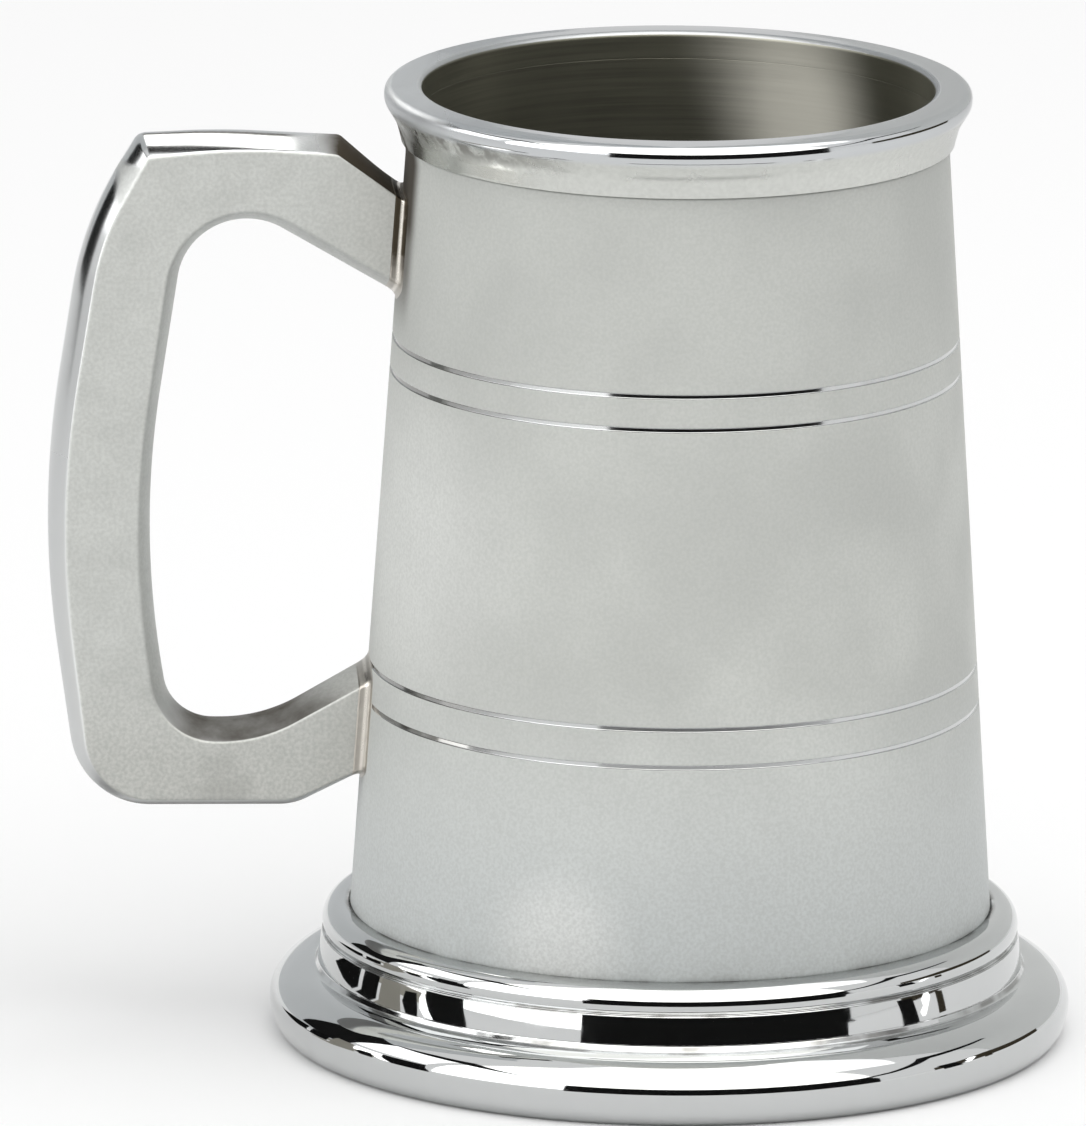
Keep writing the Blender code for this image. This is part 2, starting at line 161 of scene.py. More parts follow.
class HandleSizes(bpy.types.PropertyGroup):
    """Sizes of the handle."""

    edge_round: length("Edge rounding", 0.28, "Rounding between the flat sides and the crowned edges")
    solder_width: length("Solder width", 1.25, "Width of the solder on the handle, from the drum")
    solder_reach: length("Solder reach", 0.7, "Width of the solder on the drum, from the handle")


class FinishTones(bpy.types.PropertyGroup):
    """Colours of the finishes."""

    satin: tone("Satin pewter", (0.526, 0.537, 0.518), "Colour of the drum's satin outside")
    # Painted highlight: a lighter satin that stands in for light reflected onto the drum
    painted_sheen: tone("Rubbed satin", (0.80, 0.81, 0.80), "Colour of the satin where it is rubbed bright")
    # Painted light: a lighter, cooler satin low on the drum that stands in for reflected light
    painted_low_sheen: tone("Cool satin", (0.65, 0.675, 0.675), "Colour of the satin low on the drum")
    polished: tone("Polished pewter", (0.565, 0.575, 0.575), "Colour of the foot")
    rim: tone("Rim pewter", (0.56, 0.575, 0.585), "Colour of the mouth rim")
    rim_neck: tone("Rim neck", (0.62, 0.63, 0.60), "Colour of the softer slope under the lip")
    cast: tone("Cast pewter", (0.556, 0.568, 0.549), "Colour of the handle's flat sides")
    # A darker, warmer tone for the flat sides near the drum and low on the handle
    darker_cast: tone("Worn cast pewter", (0.480, 0.478, 0.448), "Colour of the sides near the drum")
    inside: tone("Inside pewter", (0.158, 0.156, 0.120), "Colour of the tarnished inside")
    solder: tone("Solder", (0.60, 0.57, 0.52), "Colour of the solder in the joints")
    # Colour of painted shade and dark reflections in corners and joints, and of dirt on the hidden solder
    painted_shade_and_dirt: tone("Grime", (0.05, 0.041, 0.029), "Colour of the polish left in corners")


class StudioSettings(bpy.types.PropertyGroup):
    """Camera, lamps and cards."""

    distance: length("Camera distance", 2000.0, "Level distance from the drum's axis to the camera")
    height: length("Camera height", 531.65, "Height of the camera")
    bearing: number("Bearing", math.radians(3.0), "Turn of the camera round the drum's axis", subtype="ANGLE")
    pitch: number("Pitch", 0.23664964, "Downward tilt of the camera", subtype="ANGLE")
    yaw: number("Yaw", -0.00675224, "Turn of the camera off the drum's axis", subtype="ANGLE")
    roll: number("Roll", 0.00873596, "Roll of the camera about its view", subtype="ANGLE")
    lens: number("Lens", 636.19, "Focal length in millimetres on a 36 mm sensor")
    world_strength: number("Room light", 0.8, "Light from all round")
    softbox_level: number("Softbox level", 2.0, "Brightness of the tall softbox")
    cloth_level: number("Cloth level", 1.7, "Brightness of the cloth over the camera")
    window_level: number("Window level", 1.4, "Brightness of the window on the left")
    overhead_power: number("Overhead power", 5.5, "Power of the overhead softbox in watts")
    mouth_power: number("Mouth spot power", 430.0, "Power of the narrow spot in watts")
    dark_room: number("Dark room", 0.012, "Grey level of the unlit room past the table")


SIZE_GROUPS = {
    "tankard_drum": DrumSizes,
    "tankard_rim": RimSizes,
    "tankard_foot": FootSizes,
    "tankard_handle": HandleSizes,
    "tankard_tones": FinishTones,
    "tankard_studio": StudioSettings,
}


def rounded_path(corners, spacing=0.12 * MM, guard=0.04 * MM):
    """Points of an open path through corners (a, b, rounding radius), and where each corner lies in it.

    A corner of radius R and turn 2h is replaced by an arc of radius R that is tangent to both runs,
    R tan h before and after the corner. Two roundings that need more than their run are drawn in
    alike. A guard point just outside each end of an arc keeps the straight runs' shading straight.
    """
    places = np.array([corner[:2] for corner in corners], dtype=float)
    steps = np.diff(places, axis=0)
    runs = np.hypot(steps[:, 0], steps[:, 1])
    headings = np.arctan2(steps[:, 1], steps[:, 0])
    half_turns = np.zeros(len(corners))
    half_turns[1:-1] = ((np.diff(headings) + np.pi) % (2.0 * np.pi) - np.pi) / 2.0
    needed = np.array([corner[2] for corner in corners]) * np.tan(np.abs(half_turns))
    parts = [places[:1]]
    marks = [0]
    for i in range(1, len(corners) - 1):
        back = np.array([np.cos(headings[i - 1]), np.sin(headings[i - 1])])
        ahead = np.array([np.cos(headings[i]), np.sin(headings[i])])
        if needed[i] < guard:
            parts.append(np.array([places[i] - guard * back, places[i], places[i] + guard * ahead]))
            marks.append(sum(map(len, parts)) - 2)
            continue
        share = min(1.0, runs[i - 1] / (needed[i - 1] + needed[i]), runs[i] / (needed[i] + needed[i + 1]))
        radius = corners[i][2] * share
        tangent = needed[i] * share
        side = headings[i - 1] + math.copysign(np.pi / 2.0, half_turns[i])
        centre = places[i] - tangent * back + radius * np.array([np.cos(side), np.sin(side)])
        count = 2 * max(4, math.ceil(radius * abs(half_turns[i]) / spacing))
        angles = side + np.pi + 2.0 * half_turns[i] * np.linspace(0.0, 1.0, count + 1)
        arc = centre + radius * np.stack([np.cos(angles), np.sin(angles)], axis=1)
        lead = min(guard, 0.3 * (runs[i - 1] - tangent) + 1e-9)
        tail = min(guard, 0.3 * (runs[i] - tangent) + 1e-9)
        parts.append(np.concatenate([[arc[0] - lead * back], arc, [arc[-1] + tail * ahead]]))
        marks.append(sum(map(len, parts)) - 2 - count // 2)
    parts.append(places[-1:])
    path = np.concatenate(parts)
    marks.append(len(path) - 1)
    return path, marks


def ellipse_arc(centre, radii, start, end, count):
    """Points centre + (a cos t, b sin t) for t from start to end in degrees."""
    angles = np.radians(np.linspace(start, end, count))
    return np.stack([centre[0] + radii[0] * np.cos(angles), centre[1] + radii[1] * np.sin(angles)], axis=1)


def along(path, marks, values, stations):
    """Points of a path at the stations, when the path's marked points lie at the given values.

    Between two marks the value grows with the distance along the path.
    """
    runs = np.hypot(*np.diff(path, axis=0).T)
    distance = np.concatenate([[0.0], np.cumsum(runs)])
    where = np.interp(distance, distance[marks], values)
    return np.stack([np.interp(stations, where, path[:, k]) for k in range(2)], axis=1)


def mesh_from_grid(name, points, close_rows=False, close_columns=True, cap_ends=False):
    """An object whose quads join neighbours on a grid of points, shape (rows, columns, 3).

    The last row or column joins the first where it is closed. The ends can be capped by one face
    each. The signed volume, a sixth of the sum of a . (b x c) over all triangles, turns the faces
    outward where it is negative.
    """
    rows, columns = points.shape[:2]
    row, column = np.meshgrid(np.arange(rows if close_rows else rows - 1),
                              np.arange(columns if close_columns else columns - 1), indexing="ij")
    next_row = (row + 1) % rows
    next_column = (column + 1) % columns
    quads = np.stack([row * columns + column, row * columns + next_column,
                      next_row * columns + next_column, next_row * columns + column], axis=-1).reshape(-1, 4)
    flat = points.reshape(-1, 3)
    middle = flat.mean(axis=0)
    a, b, c, d = (flat[quads[:, k]] - middle for k in range(4))
    volume = np.einsum("ij,ij->i", a, np.cross(b, c)).sum() + np.einsum("ij,ij->i", a, np.cross(c, d)).sum()
    order = 1 if volume > 0.0 else -1
    faces = quads[:, ::order].tolist()
    if cap_ends:
        loop = np.arange(columns)[::-order]
        faces += [loop.tolist(), (loop[::-1] + (rows - 1) * columns).tolist()]
    mesh = bpy.data.meshes.new(name)
    mesh.from_pydata(flat.tolist(), [], faces)
    mesh.update()
    mesh.shade_smooth()
    piece = bpy.data.objects.new(name, mesh)
    bpy.context.scene.collection.objects.link(piece)
    return piece


def turned(name, profile, segments=360):
    """A ring made from a closed profile of (radius, height) points turned round the drum's axis.

    The point (r, z) goes to (axis + r cos t, r sin t, z) for each angle t.
    """
    angles = np.linspace(0.0, 2.0 * np.pi, segments, endpoint=False)
    radius = profile[:, :1]
    points = np.stack([AXIS_X + radius * np.cos(angles), radius * np.sin(angles),
                       np.broadcast_to(profile[:, 1:], (len(profile), segments))], axis=-1)
    return mesh_from_grid(name, points, close_rows=True)


def settle(piece, material, slot, *nodes):
    """Give a piece its finish, attach it to the body and hide the packed nodes that it stands for."""
    piece.data.materials.append(material)
    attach(piece, BODY)
    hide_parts(*nodes)


class Value:
    """A socket that takes part in arithmetic, so a mask can be written as 1 - edge * wear."""

    def __init__(self, nodes, socket):
        self.nodes = nodes
        self.socket = socket

    def math(self, operation, other=None, swapped=False):
        """This value and another joined by one Math node, the other one first when swapped."""
        inputs = {0: self} if other is None else {int(swapped): self, int(not swapped): other}
        return self.nodes.node("ShaderNodeMath", {"operation": operation}, inputs)

    def __add__(self, other):
        return self.math("ADD", other)

    __radd__ = __add__

    def __sub__(self, other):
        return self.math("SUBTRACT", other)

    def __rsub__(self, other):
        return self.math("SUBTRACT", other, swapped=True)

    def __mul__(self, other):
        return self.math("MULTIPLY", other)

    __rmul__ = __mul__

    def __pow__(self, other):
        return self.math("POWER", other)

    def __abs__(self):
        return self.math("ABSOLUTE")

    def larger(self, other):
        """The larger of two values."""
        return self.math("MAXIMUM", other)

    def ramp(self, low, high):
        """A smooth step from 0 at low to 1 at high."""
        return self.nodes.node("ShaderNodeMapRange", {"interpolation_type": "SMOOTHSTEP"},
                               {"Value": self, "From Min": low, "From Max": high})

    def rise(self, low, high):
        """A smooth step of a length, from 0 at low millimetres to 1 at high millimetres."""
        return self.ramp(low * MM, high * MM)

    def fall(self, low, high):
        """The same step turned over: from 1 at low millimetres to 0 at high millimetres."""
        return 1.0 - self.rise(low, high)


class Nodes:
    """A node tree that is built from expressions."""

    def __init__(self, tree):
        self.tree = tree

    def node(self, kind, settings, inputs, output=0):
        """Add a node: its settings first, then the values or links of its sockets."""
        made = self.tree.nodes.new(kind)
        for name, setting in settings.items():
            setattr(made, name, setting)
        for name, value in inputs.items():
            self.feed(made.inputs[name], value)
        return Value(self, made.outputs[output])

    def feed(self, socket, value):
        """Link a value to a socket, or set the socket to a plain number, vector or colour."""
        if isinstance(value, Value):
            self.tree.links.new(value.socket, socket)
        elif socket.type == "RGBA":
            socket.default_value = (*value[:3], 1.0)
        else:
            socket.default_value = value


class Finish(Nodes):
    """A material's nodes, built on the piece's own coordinates."""

    def __init__(self, name):
        self.material = bpy.data.materials.new(name)
        self.material.use_nodes = True
        super().__init__(self.material.node_tree)
        self.shader = self.tree.nodes["Principled BSDF"]
        self.shader.inputs["Metallic"].default_value = 1.0
        self.place = self.node("ShaderNodeTexCoord", {}, {}, "Object")

    def part(self, name):
        """One coordinate of the piece."""
        return self.node("ShaderNodeSeparateXYZ", {}, {"Vector": self.place}, name)

    @cached_property
    def x(self):
        """Place along X, measured from the drum's axis."""
        return self.part("X") - AXIS_X

    @cached_property
    def y(self):
        """Place along Y, measured from the upright plane through the handle."""
        return self.part("Y")

    @cached_property
    def height(self):
        """Height over the table."""
        return self.part("Z")

    @cached_property
    def reach(self):
        """Distance from the drum's axis: the root of x squared plus y squared."""
        return (self.x * self.x + self.y * self.y) ** 0.5

    def distance(self, x, y, z):
        """Distance from a point in millimetres from the drum's axis and the table."""
        return self.node("ShaderNodeVectorMath", {"operation": "DISTANCE"},
                         {0: self.place, 1: (AXIS_X + x * MM, y * MM, z * MM)}, "Value")

    def drum_side(self, drum):
        """Outside radius of the drum at the point's height."""
        return DRUM_BOTTOM_RADIUS + drum.taper * DRUM_BOTTOM - drum.taper * self.height

    def wall_depth(self, drum):
        """How deep under the drum's outside surface a point lies."""
        return self.drum_side(drum) - self.reach

    def beside_handle(self, near, far):
        """1 on the handle's side of the drum, fading from near to far millimetres off its flat sides."""
        sides = abs(self.y).ramp(HANDLE_HALF + near * MM, HANDLE_HALF + far * MM)
        return (1.0 - sides) * self.x.fall(-26.0, -24.0)

    def noise(self, scale, detail=2.0, roughness=0.5, stretch=(1.0, 1.0, 1.0), offset=(0.0, 0.0, 0.0)):
        """Soft noise from 0 to 1, with about so many lumps to the metre."""
        inputs = {"Vector": self.place, "Scale": stretch, "Location": offset}
        placed = self.node("ShaderNodeMapping", {}, inputs, "Vector")
        return self.node("ShaderNodeTexNoise", {},
                         {"Vector": placed, "Scale": scale, "Detail": detail, "Roughness": roughness}, "Fac")

    def mix(self, factor, first, second):
        """A colour between two colours, which are sockets 6 and 7 of the node, with output 2."""
        return self.node("ShaderNodeMix", {"data_type": "RGBA"}, {0: factor, 6: first, 7: second}, 2)

    def bump(self, height, distance, strength=1.0, below=None):
        """A bumped normal from a height, on top of another normal."""
        inputs = {"Height": height, "Distance": distance, "Strength": strength}
        if below is not None:
            inputs["Normal"] = below
        return self.node("ShaderNodeBump", {}, inputs, "Normal")

    def set(self, **values):
        """Feed the shader's own sockets, named with underscores for spaces."""
        for name, value in values.items():
            self.feed(self.shader.inputs[name.replace("_", " ").title()], value)
        return self.material


def scaled(colour, factor):
    """A colour made lighter or darker."""
    return tuple(min(1.0, channel * factor) for channel in colour)


def groove_points(height, drum):
    """One groove: the drum's radius less depth * w, where w rises from 0 to 1 and falls again.

    w is a half cosine over the outer quarter of the width on each side and 1 in between.
    """
    across = np.linspace(-1.0, 1.0, 25)
    edge = np.clip((1.0 - np.abs(across)) / 0.42, 0.0, 1.0)
    depth = drum.groove_depth * (0.5 - 0.5 * np.cos(np.pi * edge))
    z = height - across * drum.groove_width / 2.0
    return np.stack([drum.radius_at(z) - depth, z], axis=1)


def drum_profile(drum):
    """The drum from its spigot down the outside, past the grooves, and back up the bore."""
    spigot_radius = drum.radius_at(RIM_JOINT) - SPIGOT_STEP
    shoulder = RIM_JOINT - 0.05 * MM
    drop = np.linspace(0.0, 1.0, 9)
    neck_z = shoulder - 1.6 * MM * drop
    neck = np.stack([drum.radius_at(neck_z) + drum.neck_flare * (1.0 - drop) ** 2.0, neck_z], axis=1)
    parts = [[(spigot_radius, SPIGOT_TOP), (spigot_radius, shoulder)], neck]
    aside = np.array([-drum.taper * GUARD, GUARD])
    for middle, spacing in ((drum.upper_grooves, drum.upper_spacing),
                            (drum.lower_grooves, drum.lower_spacing)):
        for height in (middle + spacing / 2.0, middle - spacing / 2.0):
            points = groove_points(height, drum)
            parts += [[points[0] + aside], points, [points[-1] - aside]]
    bore_low = np.array([DRUM_BOTTOM_RADIUS - drum.wall, DRUM_BOTTOM])
    bore_high = np.array([drum.bore_at(SPIGOT_TOP), SPIGOT_TOP])
    rise = (bore_high - bore_low) * GUARD / (SPIGOT_TOP - DRUM_BOTTOM)
    parts.append([(DRUM_BOTTOM_RADIUS, DRUM_BOTTOM), bore_low, bore_low + rise, bore_high - rise, bore_high])
    return np.concatenate([np.array(part, dtype=float) for part in parts])


def rim_profile(rim, drum):
    """The mouth rim: up the bore, over the lip, down the hollow slope and back up the socket."""
    bore = drum.bore_at(MOUTH_HEIGHT)
    socket = drum.radius_at(RIM_JOINT) - 0.35 * MM
    pocket_foot = SPIGOT_TOP + 0.02 * MM
    socket_top = SPIGOT_TOP + 0.5 * MM
    bore_low = drum.bore_at(pocket_foot)
    pocket = bore_low + 0.3 * MM
    lip_foot = MOUTH_HEIGHT - rim.lip_height
    slope_end = RIM_JOINT + rim.neck_height
    path, _ = rounded_path([
        (pocket, socket_top, 0.0),
        (pocket, pocket_foot, 0.0),
        (bore_low, pocket_foot, 0.0),
        (bore, MOUTH_HEIGHT, rim.mouth_round),
        (bore + 1.9 * MM, MOUTH_HEIGHT + 0.02 * MM, 6.0 * MM),
        (LIP_RADIUS - rim.lip_draft, MOUTH_HEIGHT - 0.02 * MM, rim.lip_round),
        (LIP_RADIUS, lip_foot, 1.5 * MM),
        (rim.neck_radius + 0.6 * MM, slope_end + 1.7 * MM, 4.5 * MM),
        (rim.neck_radius + 0.12 * MM, slope_end - 0.15 * MM, 2.6 * MM),
        (rim.neck_radius + 0.07 * MM, RIM_JOINT + 0.1 * MM, 0.1 * MM),
        (rim.neck_radius - 0.2 * MM, RIM_JOINT, 0.0),
        (socket, RIM_JOINT, 0.0),
        (socket, socket_top, 0.0),
    ])
    return path


def foot_profile(foot, drum):
    """The foot: bead, ovolo and base roll outside, then the hollow underside, shelf and seat."""
    drum_side = drum.radius_at(FOOT_HEIGHT)
    shelf_radius = DRUM_BOTTOM_RADIUS - drum.wall - SHELF_REACH
    shelf_top = DRUM_BOTTOM - JOINT_GAP
    shelf_under = shelf_top - SHELF_THICKNESS
    bead_middle = (drum_side + foot.bead_reach - foot.bead_round, FOOT_HEIGHT - foot.bead_round)
    top_reach, top_height = drum_side + foot.ovolo_reach, FOOT_HEIGHT - foot.ovolo_drop
    end_reach, end_height = top_reach + foot.ovolo_spread, foot.roll_top + 0.55 * MM
    roll_middle = FOOT_RADIUS - foot.roll_width
    roll_rise = foot.roll_top - foot.roll_widest
    rest_outer = FOOT_RADIUS - foot.rest_width
    rest_inner = rest_outer - foot.wall
    ovolo, _ = rounded_path([
        (top_reach - 0.15 * MM, top_height + 0.02 * MM, 0.0),
        (top_reach, top_height, 0.12 * MM),
        (top_reach + 0.5 * foot.ovolo_spread + 0.08 * MM, (top_height + end_height) / 2.0, 28.0 * MM),
        (end_reach, end_height, 0.35 * MM),
        (end_reach + 0.3 * MM, foot.roll_top + 0.08 * MM, 0.25 * MM),
        (end_reach + 0.5 * MM, foot.roll_top + 0.01 * MM, 0.0),
    ])
    parts = [
        [(drum_side, FOOT_HEIGHT - 0.02 * MM), (drum_side + 0.3 * MM, FOOT_HEIGHT)],
        ellipse_arc(bead_middle, (foot.bead_round,) * 2, 90.0, -33.0, 41),
        ovolo,
        ellipse_arc((roll_middle, foot.roll_widest), (foot.roll_width, roll_rise), 90.0, 0.0, 41),
        ellipse_arc((rest_outer, foot.roll_widest), (foot.rest_width, foot.roll_widest), 0.0, -88.0, 31)[1:],
        [(rest_outer, 0.0), (rest_inner, 0.0)],
        ellipse_arc((rest_inner, foot.roll_widest), (foot.rest_width, foot.roll_widest), -88.0, 0.0, 15),
        ellipse_arc((roll_middle, foot.roll_widest), (foot.roll_width - foot.wall, roll_rise - foot.wall),
                    0.0, 90.0, 15)[1:],
        [(end_reach - foot.wall, end_height - foot.wall), (top_reach - foot.wall, shelf_under),
         (shelf_radius, shelf_under), (shelf_radius, shelf_top), (DRUM_BOTTOM_RADIUS, shelf_top)],
    ]
    return np.concatenate([np.array(part, dtype=float) for part in parts])


def in_metres(corners):
    """Corners (reach, height, rounding) given in millimetres, in metres."""
    return [tuple(value * MM for value in corner) for corner in corners]


def handle_rows(handle, stations=720):
    """The handle as a grid: rows along it from the upper end to the lower one, columns round it.

    Four edges run along the handle: the outer and inner edges of its flat sides, and the crests of
    its two crowned narrow faces. Between an edge E and its crest C, a crowned face is
    E + (C - E)(1 - w^2), where w goes from -1 to 1 across the thickness. A quadratic curve rounds
    the line where a crowned face meets a flat side.
    """
    outer_side, side_marks = rounded_path(in_metres([
        (27.60, 88.20, 0.0), (35.20, 93.60, 1.2), (45.00, 94.20, 60.0), (54.60, 93.25, 0.5),
        (59.35, 84.60, 26.0), (63.85, 56.00, 95.0), (60.05, 25.30, 7.0), (39.30, 25.30, 6.0),
        (31.40, 29.00, 0.0)]))
    outer_crest, crest_marks = rounded_path(in_metres([
        (27.60, 88.20, 0.0), (34.75, 94.65, 0.9), (47.50, 95.30, 80.0), (55.60, 94.95, 1.5),
        (61.20, 85.60, 36.0), (65.80, 55.40, 100.0), (61.25, 24.10, 8.2), (39.20, 24.10, 6.5),
        (31.40, 28.10, 0.0)]))
    inner_side, inner_side_marks = rounded_path(in_metres([
        (27.80, 79.40, 0.0), (50.85, 92.85, 8.6), (56.40, 53.50, 96.0), (53.20, 31.50, 6.9),
        (42.80, 31.50, 16.0), (31.20, 38.00, 0.0)]))
    inner_crest, inner_crest_marks = rounded_path(in_metres([
        (27.80, 77.70, 0.0), (49.85, 90.40, 7.1), (55.35, 53.50, 95.0), (51.95, 33.05, 5.2),
        (42.40, 33.05, 16.0), (31.20, 39.60, 0.0)]))
    runs = np.hypot(*np.diff(outer_crest, axis=0).T)
    distance = np.concatenate([[0.0], np.cumsum(runs)])
    outer_values = distance[crest_marks] / distance[-1]
    top_corner, grip, heel = outer_values[3], outer_values[5], outer_values[6]
    inner_values = [0.0, top_corner, grip, heel, (heel + 1.0) / 2.0, 1.0]
    where = np.linspace(0.0, 1.0, stations)
    outer_side = along(outer_side, side_marks, outer_values, where)
    outer_crest = along(outer_crest, crest_marks, outer_values, where)
    inner_side = along(inner_side, inner_side_marks, inner_values, where)
    inner_crest = along(inner_crest, inner_crest_marks, inner_values, where)
    half = HANDLE_HALF

    def crown(side, crest, across):
        """Points on a crowned face for each share across the thickness."""
        swell = (1.0 - across ** 2)[None, :, None]
        flat = side[:, None, :] + (crest - side)[:, None, :] * swell
        y = np.broadcast_to(across * half, flat.shape[:2])
        return np.stack([AXIS_X - flat[..., 0], y, flat[..., 1]], axis=-1)

    def flat_edge(side, level):
        """Points of a flat side's edge on the near or the far side."""
        return np.stack([AXIS_X - side[:, 0], np.full(len(side), level), side[:, 1]], axis=-1)[:, None]

    def corner(start, middle, end):
        """A quadratic curve from start to end that is drawn towards middle."""
        t = np.linspace(0.0, 1.0, 7)[None, :, None]
        return (1.0 - t) ** 2 * start + 2.0 * t * (1.0 - t) * middle + t ** 2 * end

    inset = handle.edge_round / half
    width = np.linalg.norm(outer_side - inner_side, axis=1)
    share = (handle.edge_round / width)[:, None, None]
    across = np.linspace(-1.0 + inset, 1.0 - inset, 19)
    outer_crown = crown(outer_side, outer_crest, across)
    inner_crown = crown(inner_side, inner_crest, across)[:, ::-1]
    near_inner, near_outer = flat_edge(inner_side, -half), flat_edge(outer_side, -half)
    far_inner, far_outer = flat_edge(inner_side, half), flat_edge(outer_side, half)

    def inset_face(near, far, shares):
        """Points between two edges of a flat side, kept a rounding's width from both."""
        return near + (far - near) * (share + (1.0 - 2.0 * share) * shares[None, :, None])

    shares = np.array([0.0, 0.02, 0.15, 0.5, 0.85, 0.98, 1.0])
    near_side = inset_face(near_inner, near_outer, shares)
    far_side = inset_face(far_outer, far_inner, shares)
    faces = [near_side, outer_crown, far_side, inner_crown]
    middles = [near_outer, far_outer, far_inner, near_inner]
    parts = []
    for face, middle, after in zip(faces, middles, faces[1:] + faces[:1]):
        parts += [face, corner(face[:, -1:], middle, after[:, :1])[:, 1:-1]]
    return np.concatenate(parts, axis=1)


def height_over_drum(points, drum):
    """How far each point lies outside the drum's surface, measured level and along X."""
    radius = drum.radius_at(points[:, 2])
    return AXIS_X - points[:, 0] - np.sqrt(radius ** 2 - points[:, 1] ** 2)


def solder_grid(end_row, next_row, drum, handle):
    """A collar of solder round one end of the handle, as a grid of closed loops.

    Each straight line along the handle, from end_row to next_row, meets the drum at a foot F and
    lies a solder width clear of it at H. D is F moved outward over the drum. The face of the solder
    is the quadratic curve from D to H drawn towards F, and two more loops close it inside the metal.
    """
    lean = next_row - end_row
    low = height_over_drum(end_row, drum)
    high = height_over_drum(next_row, drum)

    def at_height(height):
        """The point of each line that lies so far clear of the drum."""
        return end_row + lean * ((height - low) / (high - low))[:, None]

    foot = at_height(0.0)
    on_handle = at_height(handle.solder_width)
    tangent = np.roll(foot, -1, axis=0) - np.roll(foot, 1, axis=0)
    outward = np.stack([np.zeros(len(foot)), tangent[:, 2], -tangent[:, 1]], axis=1)
    outward /= np.linalg.norm(outward, axis=1)[:, None]
    centre = foot.mean(axis=0)
    outward *= np.sign(np.einsum("ij,ij->i", outward, foot - centre).sum())

    def on_drum(points, lift):
        """Points moved along X until they stand so far out from the drum's surface."""
        moved = points.copy()
        radius = drum.radius_at(points[:, 2])
        moved[:, 0] = AXIS_X - np.sqrt(radius ** 2 - points[:, 1] ** 2) - lift
        return moved

    spread = on_drum(foot + outward * handle.solder_reach, 0.0)
    t = np.linspace(0.0, 1.0, 13)[:, None, None]
    face = (1.0 - t) ** 2 * spread + 2.0 * t * (1.0 - t) * foot + t ** 2 * on_handle
    inside = 0.25 * MM
    closing = np.stack([on_handle - outward * inside, on_drum(foot - outward * inside, -inside),
                        on_drum(spread, -inside)])
    return np.concatenate([face, closing])


def fillet_ring(corner, across, upward, leg=1.2 * MM):
    """A ring of solder in a corner: two legs of equal length joined by a hollow quarter circle."""
    angles = np.radians(np.linspace(0.0, 90.0, 13))
    hollow = np.stack([corner[0] + across * leg * (1.0 - np.sin(angles)),
                       corner[1] + upward * leg * (1.0 - np.cos(angles))], axis=1)
    return np.concatenate([[corner], hollow])


def inside_look(finish, tones):
    """Colour, roughness and relief of the dull inside, with faint rings left by the turning tool."""
    rings = finish.noise(160.0, 4.0, 0.7, (0.2, 0.2, 12.0))
    stain = finish.noise(70.0, 3.0, 0.6, (1.0, 1.0, 0.6)).ramp(0.35, 0.7)
    brown = finish.mix(stain, tones.inside, scaled(tones.inside, 0.75))
    colour = finish.mix(rings.ramp(0.3, 0.7), brown, scaled(tones.inside, 1.06))
    relief = finish.noise(1500.0, 2.0, 0.6, (0.5, 0.5, 1.0))
    return colour, 0.30 + 0.08 * rings, relief


def satin_finish(tones, drum):
    """Satin outside of the drum, bright inside its grooves, with the dull unpolished bore.

    The satin has painted highlights in two places on the handle's side, is painted lighter and cooler
    low down and is darker near the mouth. Painted shade darkens the satin beside the handle's upper
    end and the grooves on that side.
    """
    finish = Finish("satin_pewter_finish")
    height = finish.height
    depth = finish.wall_depth(drum)
    inside = depth.ramp(0.4 * drum.wall, 0.6 * drum.wall)
    groove = depth.rise(0.03, 0.08) * (1.0 - inside)
    clouds = finish.noise(62.0)
    grain = finish.noise(3000.0, 1.0)
    satin = finish.mix(clouds.ramp(0.3, 0.7), scaled(tones.satin, 0.93), scaled(tones.satin, 1.07))
    satin = finish.mix(0.35 * height.rise(58.0, 80.0), satin, scaled(tones.satin, 0.88))
    # Painted light: the satin turns lighter and cooler towards the bottom of the drum
    satin = finish.mix(height.fall(11.0, 46.0), satin, tones.painted_low_sheen)
    # Painted highlights: a lighter patch high on the handle's side and a painted glow low at the front
    painted_sheen = finish.distance(-29.0, -12.0, 55.0).fall(4.0, 23.0)
    glow = finish.distance(-13.4, -30.5, 16.5).fall(2.0, 10.0)
    satin = finish.mix(0.4 * painted_sheen + 0.75 * glow, satin, tones.painted_sheen)
    satin = finish.mix(grain.ramp(0.25, 0.75) * 0.24, satin, scaled(tones.satin, 0.72))
    # Painted shade on the drum beside and below the handle's upper end
    painted_shade_and_dirt = finish.beside_handle(1.5, 4.5) * (height.rise(74.0, 82.0) * 0.7 + height.rise(84.0, 87.0) * 0.3)
    satin = finish.mix(painted_shade_and_dirt, satin, tones.painted_shade_and_dirt)
    dull, dull_rough, dull_relief = inside_look(finish, tones)
    # Painted shade: the grooves darken on the handle's side
    turned_bright = finish.mix(0.55 * finish.x.fall(-27.0, -14.0), tones.polished, tones.painted_shade_and_dirt)
    colour = finish.mix(groove, satin, turned_bright)
    rough = 0.82 + 0.08 * clouds + 0.03 * grain
    rough = rough * (1.0 - groove) + 0.1 * groove
    rough = rough * (1.0 - inside) + dull_rough * inside
    bloom = (1.0 - groove) * (1.0 - inside)
    scratched = finish.bump(dull_relief * inside, 0.007 * MM, 1.0)
    return finish.set(base_color=finish.mix(inside, colour, dull), roughness=rough,
                      metallic=1.0 - (0.5 + 0.4 * painted_shade_and_dirt) * bloom - 0.4 * inside,
                      normal=finish.bump(grain * bloom, 0.0024 * MM, 0.6, scratched))


